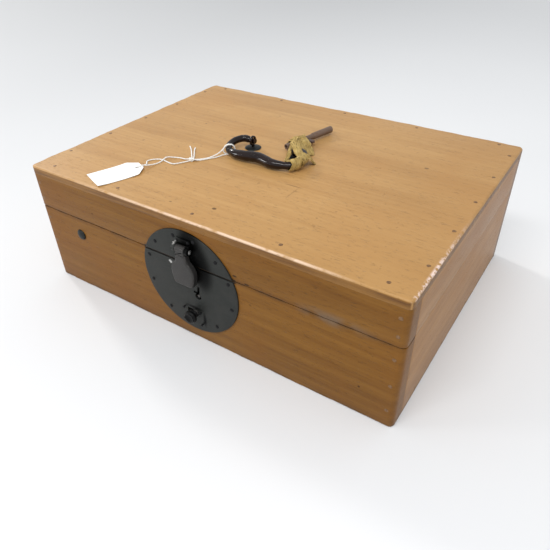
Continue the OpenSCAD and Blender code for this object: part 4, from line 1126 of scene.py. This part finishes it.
def round_key(w, turns, lean, grow, start, width, seed, wide=1.0):
    """A loop of cloth round the stem at w along the key."""
    made = []
    n = int(turns * 12)
    for k in range(n + 1):
        a = radians(start + 360 * turns * k / n)
        r = 4.2 + grow * k / n + 0.4 * sin(2.1 * a + seed)
        p = on_key(r * wide * cos(a), r * sin(a), w + lean * sin(a + 0.6) + 1.2 * k / n)
        made.append((p.x, p.y, max(p.z, LID_TOP + 0.8)))
    axis = on_key(0, 0, w)
    def away(p):
        return Vector((p.x - axis.x, (p.y - axis.y) * 0.2, p.z - axis.z))
    return ribbon(f"tie_knot_{seed}", made, away, width, cup=0.5, crumple=0.9, seed=seed)

knot_parts = [round_key(7.6, 1.2, 1.6, 0.7, 150, 7.5, 71), round_key(13.0, 1.4, -2.4, 1.5, 30, 9.0, 73, 1.1),
    round_key(19.0, 1.3, 2.4, 1.3, 220, 9.0, 75, 1.1), round_key(24.5, 1.2, -2.0, 0.3, 100, 7.0, 77)]
fold = ribbon("tie_fold", [(2.0, 24.0, 139.6), (4.6, 19.0, 142.6), (7.6, 12.0, 143.0), (9.8, 4.6, 140.6),
    (11.2, -2.4, 136.8), (12.6, -9.0, 133.4), (15.4, -14.6, 131.9), (19.6, -19.0, 131.8)],
    lambda p: Vector((-0.45, -0.5, 0.8)), lambda t: 9.5 - 5.0 * t, cup=1.2, crumple=0.9, seed=80)
bunch = ribbon("tie_bunch", [(3.0, 12.0, 133.0), (9.0, 10.6, 135.0), (14.4, 12.6, 137.6), (17.4, 17.0, 139.0),
    (16.4, 23.0, 140.2), (12.0, 27.0, 141.0), (8.0, 25.6, 141.4), (6.4, 20.8, 141.0)],
    lambda p: Vector((0.5, -0.35, 0.9)), lambda t: 8.0 + 4.0 * sin(pi * t), cup=1.8, crumple=1.1, seed=81)
tail_a = ribbon("tie_tail_a", [(10.0, 19.0, 141.0), (16.5, 15.6, 139.6), (22.0, 12.6, 136.6),
    (25.6, 9.0, 133.4), (28.0, 5.0, 131.9)],
    lambda p: Vector((0.35, -0.1, 1.0)), lambda t: 11.0 - 3.0 * t, cup=1.3, crumple=1.0, seed=83)
tail_b = ribbon("tie_tail_b", [(9.0, 23.6, 140.4), (15.0, 23.4, 139.4), (20.4, 21.6, 137.0),
    (24.4, 18.6, 134.2), (27.0, 15.0, 132.0)],
    lambda p: Vector((0.4, -0.1, 1.0)), lambda t: 10.5 - 2.5 * t, cup=1.3, crumple=1.0, seed=85)
for thing in knot_parts + [fold, bunch, tail_a, tail_b]:
    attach(thing, "lid")
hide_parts("tie_knot")
print("tie ready")

# %% [markdown]
# ## Paper tag
#
# A blank card tag with two clipped corners and a punched hole lies at the lid's front left. Card is
# never quite flat, so the tag is a fine grid that lifts a little at the hole, where the string goes
# under it, and at one corner.

# %% Tag
def tag_height(along, across):
    """How far the card stands off the lid, in millimetres, from its middle."""
    lift = max(0.0, (along + 2.0) / 26.7)
    corner = max(0.0, (-along - 8) / 16.7) * max(0.0, across / 15.6)
    return 0.28 + 1.8 * lift * lift + 0.9 * corner * corner

tag_mid, tag_t = Vector((-110.4, -114.4)), 0.35
points, faces, grid = [], [], {}
NU, NV = 26, 40
for layer in (0, 1):
    for i in range(NV + 1):
        along = -24.6 + 49.2 * i / NV
        clip = 15.5 if along < 15.6 else 15.5 - (along - 15.6) * 9.5 / 9.0
        for j in range(NU + 1):
            across_tag = -clip + 2 * clip * j / NU
            p = tag_mid + tag_up * along + tag_side * across_tag
            grid[layer, i, j] = len(points)
            points.append((p.x, p.y, LID_TOP + tag_height(along, across_tag) + layer * tag_t))
for i in range(NV):
    for j in range(NU):
        faces.append([grid[1, i, j], grid[1, i, j + 1], grid[1, i + 1, j + 1], grid[1, i + 1, j]])
        faces.append([grid[0, i, j], grid[0, i + 1, j], grid[0, i + 1, j + 1], grid[0, i, j + 1]])
rim = [(0, j) for j in range(NU + 1)] + [(i, NU) for i in range(1, NV + 1)] + [(NV, j)
    for j in range(NU - 1, -1, -1)] + [(i, 0) for i in range(NV - 1, 0, -1)]
for (a, b), (c, d) in zip(rim, rim[1:] + rim[:1]):
    faces.append([grid[0, a, b], grid[0, c, d], grid[1, c, d], grid[1, a, b]])
tag = piece("tag_card", points, faces, angle=40)
punch_points = [(hole.x + 2.0 * cos(a), hole.y + 2.0 * sin(a), z) for z in (LID_TOP - 1, LID_TOP + 5)
    for a in round_angles(28)]
cut(tag, [piece("cutter", punch_points, rings_to_faces(2, 28), False)])
belongs(tag, paper, "lid", "tag_paper", "tag")
print("tag ready")

# %% [markdown]
# ## Floor and light
#
# The box stands on a plain pale floor that runs back without an edge. A large soft lamp on the left,
# a little behind the box, gives the gentle shadows to the right, and a bright even sky fills the rest.

# %% Floor, sky and lamps
def floor_finish():
    f = Finish("pale_floor")
    tone = f.mix(f.noise(1.2, 2).ramp(0.3, 0.7), (0.800, 0.805, 0.812), (0.775, 0.780, 0.790))
    # painted shade: duller to the left and back
    away = f.axis("X").ramp(0.25, -0.9) * 0.60 + f.axis("Y").ramp(0.1, 1.6) * 0.45
    return f.finish(f.mix(away.maths("MULTIPLY", 1.0, clamp=True), tone, (0.560, 0.565, 0.572)), 0.75)

floor = piece("floor", [(-9000, -9000, -0.3), (9000, -9000, -0.3), (9000, 9000, -0.3), (-9000, 9000, -0.3)],
    [[0, 1, 2, 3]], False)
wear_this(floor, floor_finish())

world = bpy.data.worlds.new("sky")
bpy.context.scene.world = world
world.use_nodes = True
world.node_tree.nodes["Background"].inputs["Color"].default_value = (0.96, 0.98, 1.0, 1)
world.node_tree.nodes["Background"].inputs["Strength"].default_value = 0.75

def soft_lamp(name, place, power, size, colour=(1, 1, 1), depth=None):
    data = bpy.data.lights.new(name, "AREA")
    data.shape = "RECTANGLE"
    data.energy, data.size, data.size_y, data.color = power, size, depth or size, colour
    lamp = bpy.data.objects.new(name, data)
    bpy.context.collection.objects.link(lamp)
    lamp.location = place
    lamp.rotation_euler = (Vector((0, 0, 0.06)) - Vector(place)).to_track_quat("-Z", "Y").to_euler()

soft_lamp("key_lamp", (-5.2, 1.5, 2.9), 100, 0.7, (1.0, 0.98, 0.95))
soft_lamp("top_lamp", (0.3, -1.1, 1.9), 25, 1.8, depth=0.35)
soft_lamp("side_lamp", (-1.25, -1.05, 0.50), 5.0, 0.30)
bpy.context.scene.view_settings.view_transform = "Standard"
print("light ready")
